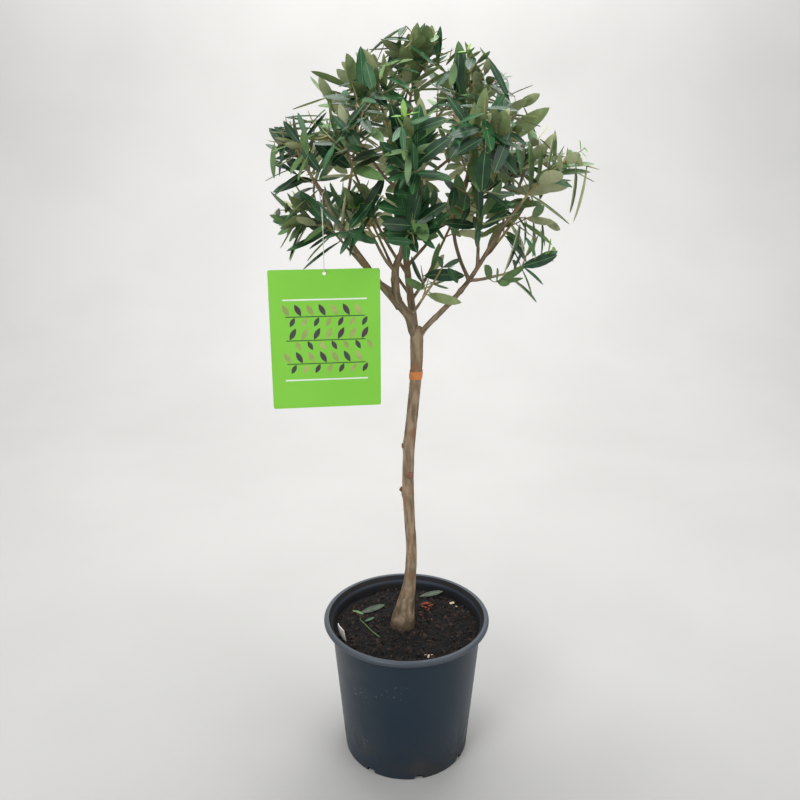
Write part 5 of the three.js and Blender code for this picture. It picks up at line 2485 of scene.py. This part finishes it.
# x, y and length of each splinter
RED_SPOTS = ((30, 62, 12), (36, 66, 14), (43, 60, 11), (34, 53, 9), (27, 56, 8), (40, 50, 7), (45, 20, 6),
             (38, 46, 5), (25, 30, 4))
PALE_SPOTS = ((35, -88, 8), (41, -86, 6), (30, -84, 4), (82, 74, 13), (90, 62, 5))


@dataclass
class Band:
    """Orange tape wound round the upper trunk, in millimetres.

    Attributes:
        tree: The limbs.
        height: Height of its middle.
        width: Its width.
        inner: Its inner radius.
        thickness: Its thickness.
        second: Thickness of the second turn, over the middle of the first.
        wrinkle: Depth of its wrinkles.
        segments: Points round it.
        rows: Rows of points across its face.
        waver: How far its edge wavers three times and once round.
        overlap: Shares of the width between which the second turn lies.
    """

    tree: Tree
    height: float = 673
    width: float = 12.8
    inner: float = 9.7
    thickness: float = 0.5
    second: float = 0.25
    wrinkle: float = 0.12
    segments: int = 72
    rows: int = 6
    waver: tuple[float, float] = (0.4, 0.6)
    overlap: tuple[float, float] = (0.25, 0.8)

    def build(self) -> None:
        """Winds the band as a closed strip."""
        section = [(0, 0)] + [(1, k / self.rows) for k in range(self.rows + 1)] + [(0, 1)]
        curve = self.tree.limbs["trunk"].curve
        shares = np.linspace(0, 1, 200)
        heights = [curve.at(share)[2] for share in shares]
        rings = []
        for turn in turns_of(self.segments):
            edge = math.sin(3 * turn) * self.waver[0] + math.sin(turn + 1) * self.waver[1]
            side = level(turn)
            ring = []
            for outer, up in section:
                z = self.height + (up - 0.5) * self.width + edge
                centre = curve.at(float(np.interp(z, heights, shares)))
                wrinkle = self.wrinkle * noise.noise(Vector((*side[:2] * 3, up * 2)))
                second = self.second * (self.overlap[0] < up < self.overlap[1])
                radius = self.inner + outer * (self.thickness + wrinkle + second)
                ring.append(np.array([*centre[:2], z]) + side * radius)
            rings.append(ring)
        made = lofted("orange_tape_band", [[*rings, rings[0]]], capped=False)
        place(dressed(made, TAPE_FINISH, 40), Slot.TAPE, "trunk_band")


Outline = list[tuple[float, float]]


@dataclass
class PlantTag:
    """Green card on its thread, with a printed sprig pattern, in millimetres.

    Attributes:
        tree: The limbs.
        corner_steps: Steps round a corner of the card.
        hole_steps: Steps round its hole.
        cuts: Cuts across the card's width and height that let it bow.
        print_lift: How far the print stands in front of the card.
        print_depth: Thickness of the print.
        ply_radius: Radius of one ply of the thread.
        ply_offset: Distance of a ply from the thread's middle line.
        ply_lay: Length over which a ply winds once round.
        ply_step: Distance between points of a ply.
        bow: Depth of the card's bow.
        slack: Room between the bough and the thread's loop.
        coil_turns: Half turns of the knot.
        coil_rise: Rise of the knot in a half turn.
        coil_start: Start of the knot against its middle.
        coil_radius: Radius of the thread in the knot.
    """

    tree: Tree
    corner_steps: int = 6
    hole_steps: int = 24
    cuts: tuple[int, int] = (12, 15)
    print_lift: float = 0.12
    print_depth: float = 0.1
    ply_radius: float = 0.38
    ply_offset: float = 0.34
    ply_lay: float = 3.4
    ply_step: float = 0.55
    bow: float = 1.1
    slack: float = 0.4
    coil_turns: int = 7
    coil_rise: float = 0.5
    coil_start: float = -1.6
    coil_radius: float = 0.5

    def world(self, x: float, z: float, out: float = 0) -> Point:
        """Finds a point of the bowed card.

        Args:
            x: Place across the card.
            z: Place up the card, from its top edge.
            out: Distance in front of its middle.

        Returns:
            The point.
        """
        bow = self.bow * math.sin(math.pi * (z / TAG.height + 1))
        top = np.array([*self.tree.support[:2], TAG.top])
        return top + TAG.across * x + UP * z + TAG.facing * (bow + out)

    def outline(self) -> Outline:
        """Draws the card's outline.

        Returns:
            The outline, with round corners.
        """
        half, low = TAG.width / 2 - TAG.corner, -TAG.height + TAG.corner
        corners = ((half, low, -90), (half, -TAG.corner, 0), (-half, -TAG.corner, 90), (-half, low, 180))
        return [(x + TAG.corner * math.cos(turn), z + TAG.corner * math.sin(turn))
                for x, z, start in corners
                for turn in np.radians(np.linspace(start, start + 90, self.corner_steps + 1))]

    def card(self) -> None:
        """Cuts the card with its hole and gives it a slight bow."""
        bm = bmesh.new()
        hole = [(TAG.hole_radius * math.cos(turn), TAG.hole_radius * math.sin(turn) - TAG.hole_drop)
                for turn in turns_of(self.hole_steps)]
        edges = []
        for outline in (self.outline(), hole):
            loop = [bm.verts.new((x, 0, z)) for x, z in outline]
            edges.extend(bm.edges.new(pair) for pair in zip(loop, loop[1:] + loop[:1]))
        bmesh.ops.triangle_fill(bm, use_beauty=True, use_dissolve=False, edges=edges)
        across, down = self.cuts
        planes = [((TAG.width * (k / across - 0.5), 0, 0), (1, 0, 0)) for k in range(1, across)]
        planes += [((0, 0, -TAG.height * k / down), (0, 0, 1)) for k in range(1, down)]
        for spot, normal in planes:
            geometry = bm.verts[:] + bm.edges[:] + bm.faces[:]
            bmesh.ops.bisect_plane(bm, geom=geometry, plane_co=spot, plane_no=normal, dist=1e-4)
        for vertex in bm.verts:
            vertex.co = Vector(self.world(vertex.co.x, vertex.co.z) * MM)
        made = mesh_object("plant_tag", [])
        bm.to_mesh(made.data)
        bm.free()
        place(dressed(thickened(made, TAG.thickness), CARD_FINISH, 30), Slot.TAG, "tag_card")

    def motif(self, name: str, shapes: Sequence[Outline], finish: Finish) -> None:
        """Prints flat shapes on the card's face.

        Args:
            name: The piece's name.
            shapes: Outlines on the card's face.
            finish: Their finish.
        """
        front = TAG.thickness / 2 + self.print_lift
        depths = (front - self.print_depth, front)
        bodies = [[[self.world(x, z, out) for x, z in shape] for out in depths] for shape in shapes]
        place(dressed(lofted(name, bodies), finish, 30), Slot.TAG)

    @staticmethod
    def leaf_shape(x: float, z: float, turn: float, length: float, width: float) -> Outline:
        """Returns the outline of a printed leaf.

        Args:
            x: Place of its foot across the card.
            z: Place of its foot up the card.
            turn: Its heading in degrees.
            length: Its length.
            width: Its width.

        Returns:
            The outline, up one side and down the other.
        """
        along = np.array([math.cos(math.radians(turn)), math.sin(math.radians(turn))])
        beside = np.array([-along[1], along[0]])
        steps = [(1, step / 8) for step in range(8)] + [(-1, step / 8) for step in range(8, 0, -1)]
        return [np.array([x, z]) + along * length * share
                + beside * side * width / 2 * math.sin(math.pi * share) ** 0.9 for side, share in steps]

    @staticmethod
    def bar(z: float, wide: float, high: float) -> Outline:
        """Returns the outline of a printed bar across the card."""
        return [(x * wide / 2, z + up * high / 2) for x, up in ((-1, -1), (1, -1), (1, 1), (-1, 1))]

    def prints(self) -> None:
        """Prints a garland of plain leaves between two pale rules."""
        groups, stems = ([], []), []
        for row, z in enumerate((-66, -100, -134)):
            stems.append(self.bar(z, 112, 1.4))
            turn = 62 if row % 2 else 118
            for k, x in enumerate(range(-51, 52, 17)):
                groups[(k + row + 1) % 2].append(self.leaf_shape(x, z + 1, turn, 19, 7.5))
                groups[(k + row) % 2].append(self.leaf_shape(x + 8, z - 1, -turn, 15, 6.5))
        self.motif("tag_rules", [self.bar(z, 118, 2.2) for z in (-42, -158)], PRINT_WHITE)
        self.motif("tag_stems", stems, PRINT_STEM)
        self.motif("tag_dark_leaves", groups[0], PRINT_DARK)
        self.motif("tag_pale_leaves", groups[1], PRINT_PALE)

    def strands(self) -> list[Line]:
        """Runs the thread through the hole in a ring, up in a strand and over the bough in a loop.

        Returns:
            The lines of both plies of the ring, the strand and the loop.
        """
        bough = self.tree.limbs[TAG.bough]
        support = self.tree.support
        ahead = bough.curve.at(TAG.at + 0.03) - support
        beside = unit(np.array([ahead[1], -ahead[0], 0]))
        raised = unit(np.cross(ahead, beside))
        raised *= math.copysign(1, raised[2])
        around = bough.radius(TAG.at) * 1.05 + TAG.thread_radius + self.slack
        rest = TAG.top - TAG.hole_drop + TAG.hole_radius - GAP - TAG.thread_radius
        middle = np.array([*support[:2], rest + TAG.ring])
        ring = [middle + TAG.ring * (TAG.facing * math.sin(turn) - UP * math.cos(turn))
                for turn in np.linspace(0, 2 * math.pi, 25)]
        knot = support - UP * TAG.knot_drop
        strand = [lerp(middle + UP * TAG.ring, knot, share) for share in np.linspace(0, 1, 20)]
        loop = [support + around * (beside * math.cos(turn) + raised * math.sin(turn))
                for turn in np.radians(range(200, -31, -23))]
        rise = np.linspace(0, 1, 14)[:-1]
        loop = [*[lerp(knot, loop[0], share) for share in rise], *loop,
                *[lerp(knot, loop[-1], share) for share in rise[::-1]]]
        return [self.ply(line, phase) for line in (ring, strand, loop) for phase in (0, math.pi)]

    def ply(self, line: Sequence[Point], phase: float) -> Line:
        """Winds one ply round a line.

        Args:
            line: The points of the thread's middle line.
            phase: Turn about it, in radians, at which the ply starts.

        Returns:
            The ply's own line.
        """
        curve = Curve(np.array(line))
        length = sum(np.linalg.norm(b - a) for a, b in zip(line, line[1:]))
        points = []
        for share in np.linspace(0, 1, max(20, int(length / self.ply_step)) + 1):
            ahead = unit(curve.at(min(share + 0.01, 1)) - curve.at(max(share - 0.01, 0)))
            side = unit(np.cross(ahead, (0.31, 0.87, 0.12)))
            turn = phase + share * length / self.ply_lay * 2 * math.pi
            out = side * math.cos(turn) + np.cross(ahead, side) * math.sin(turn)
            points.append(curve.at(share) + out * self.ply_offset)
        return points, [self.ply_radius] * len(points)

    def build(self, tubes: LimbTubes) -> None:
        """Makes the card, its print and its thread.

        Args:
            tubes: The rule that makes round limbs.
        """
        self.card()
        self.prints()
        knot = self.tree.support - UP * TAG.knot_drop
        coils = [knot + level(turn) + UP * (self.coil_start + self.coil_rise * turn / math.pi)
                 for turn in np.linspace(0, self.coil_turns * math.pi, 60)]
        lines = [*self.strands(), (coils, [self.coil_radius] * len(coils))]
        thread = tubes.grow("tag_string", lines, Make(6, 0.00002, 900), THREAD_FINISH)
        place(thread, Slot.THREAD, "tag_thread")


@dataclass
class PotLabel:
    """Blank white label in the soil by the pot's wall, in millimetres and degrees.

    Attributes:
        width: Its width.
        height: Its height.
        thickness: Its thickness.
        sunk: Height of the part in the soil.
        foot: Where it stands, at the soil's level.
        lean: Its lean.
        yaw: Its turn about the upright.
        rows: Rows of faces up it.
        columns: Columns of faces across it.
        clipped: Width of its top edge against its width.
        point: Width of its foot against its width, and how much wider it grows over its height.
        bows: Depth of its bow across and up it.
    """

    width: float = 26
    height: float = 44
    thickness: float = 0.9
    sunk: float = 22
    foot: tuple[float, float, float] = (-106, -34, 226)
    lean: float = -10
    yaw: float = 118
    rows: int = 10
    columns: int = 6
    clipped: float = 0.9
    point: tuple[float, float] = (0.3, 3.2)
    bows: tuple[float, float] = (0.9, 0.5)

    def build(self) -> None:
        """Builds the label with clipped corners, a pointed foot and a slight bow."""
        lean, yaw = math.radians(self.lean), math.radians(self.yaw)
        points, faces = [], []
        foot, widening = self.point
        side = self.columns + 1
        for row in range(self.rows + 1):
            narrow = self.clipped if row == self.rows else min(1, foot + widening * row / self.rows)
            z = self.height * row / self.rows - self.sunk
            for column in range(side):
                share = 2 * column / self.columns - 1
                x = share * self.width / 2 * narrow
                bow = self.bows[0] * (1 - share**2) + self.bows[1] * math.sin(math.pi * row / self.rows)
                y, up = bow * math.cos(lean) - z * math.sin(lean), bow * math.sin(lean) + z * math.cos(lean)
                points.append(level(yaw) * x + np.cross(UP, level(yaw)) * y + UP * up)
                if row < self.rows and column < self.columns:
                    a = row * side + column
                    faces.append((a, a + 1, a + side + 1, a + side))
        made = mesh_object("blank_label", (np.array(points) + self.foot) * MM, faces=faces)
        place(dressed(thickened(made, self.thickness), LABEL_FINISH, 30), Slot.LABEL, "pot_label")


@dataclass
class Studio:
    """Pale floor, soft light and the camera at the photograph's angle, in metres and degrees.

    Attributes:
        eye: Where the camera stands.
        pitch: How far it looks down.
        lens: Its focal length in millimetres.
        sensor: Width of its sensor in millimetres.
        half_width: Half the floor's width.
        front: The floor's front edge.
        bend_start: Where the floor starts to bend up.
        bend: Radius of the bend.
        wall_top: Height of the backdrop.
        sky: Colour of the sky.
        sky_strength: Its strength.
    """

    eye: tuple[float, float, float] = (-0.011, -1.194, 1.003)
    pitch: float = 17.28
    lens: float = 36
    sensor: float = 36
    half_width: float = 7
    front: float = -6
    bend_start: float = 1.6
    bend: float = 1.4
    wall_top: float = 6
    sky: str = "#f2f4f7"
    sky_strength: float = 0.74

    def camera(self) -> None:
        """Sets the camera."""
        data = bpy.data.cameras.new("camera")
        data.lens = self.lens
        data.sensor_width = self.sensor
        camera = bpy.data.objects.new("camera", data)
        camera.location = self.eye
        camera.rotation_euler = (math.radians(90 - self.pitch), 0, 0)
        bpy.context.scene.collection.objects.link(camera)
        bpy.context.scene.camera = camera

    def floor(self) -> None:
        """Lays a floor that sweeps up into a backdrop far behind."""
        profile = [(self.front, 0), (self.bend_start, 0)]
        profile += [(self.bend_start + self.bend * math.sin(turn), self.bend * (1 - math.cos(turn)))
                    for turn in np.radians(range(10, 91, 10))]
        profile.append((self.bend_start + self.bend, self.wall_top))
        points = [(x, y, z) for y, z in profile for x in (-self.half_width, self.half_width)]
        faces = [(k, k + 1, k + 3, k + 2) for k in range(0, len(points) - 2, 2)]
        dressed(mesh_object("studio_floor", points, faces=faces), STUDIO_FINISH, 40)

    def lamp(self, name: str, spot: tuple[float, float, float], size: float, power: float,
             aim: tuple[float, float, float] = (0, 0, 0.75)) -> None:
        """Adds a large soft lamp.

        Args:
            name: The lamp's name.
            spot: Where it stands.
            size: Its diameter.
            power: Its power in watts.
            aim: The point that it faces.
        """
        data = bpy.data.lights.new(name, "AREA")
        data.shape = "DISK"
        data.size = size
        data.energy = power
        lamp = bpy.data.objects.new(name, data)
        lamp.location = spot
        lamp.rotation_euler = (Vector(aim) - Vector(spot)).to_track_quat("-Z", "Y").to_euler()
        bpy.context.scene.collection.objects.link(lamp)

    def light(self) -> None:
        """Sets an even pale sky and four soft lamps, shown in plain display colours."""
        bpy.context.scene.view_settings.view_transform = "Standard"
        world = bpy.data.worlds.new("pale_room")
        world.use_nodes = True
        background = world.node_tree.nodes["Background"].inputs
        background["Color"].default_value = colour(self.sky)
        background["Strength"].default_value = self.sky_strength
        bpy.context.scene.world = world
        self.lamp("key", (-1.6, -2.2, 2.6), 1.6, 54)
        self.lamp("fill", (2.2, -1.6, 1.6), 1.8, 16)
        self.lamp("rim", (0.6, 1.5, 2.6), 1.4, 16)
        self.lamp("backdrop_wash", (0, 0.6, 3.6), 2.2, 190, aim=(0, 3.4, 1.8))

    def build(self) -> None:
        """Sets the camera, floor and lights."""
        self.camera()
        self.floor()
        self.light()


def main() -> None:
    """Builds the tree, its pot, its tag and the studio in order."""
    logging.basicConfig(level=logging.INFO, format="%(name)s: %(message)s")
    Studio().build()
    tree = Tree()
    tubes = LimbTubes()
    sprays = LeafSprays()
    Limbs(tree).build(tubes)
    Crown(tree).build(tubes, sprays)
    Pot().build()
    Soil().build(tubes, sprays)
    Band(tree).build()
    PlantTag(tree).build(tubes)
    PotLabel().build()
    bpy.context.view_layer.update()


if __name__ == "__main__":
    main()
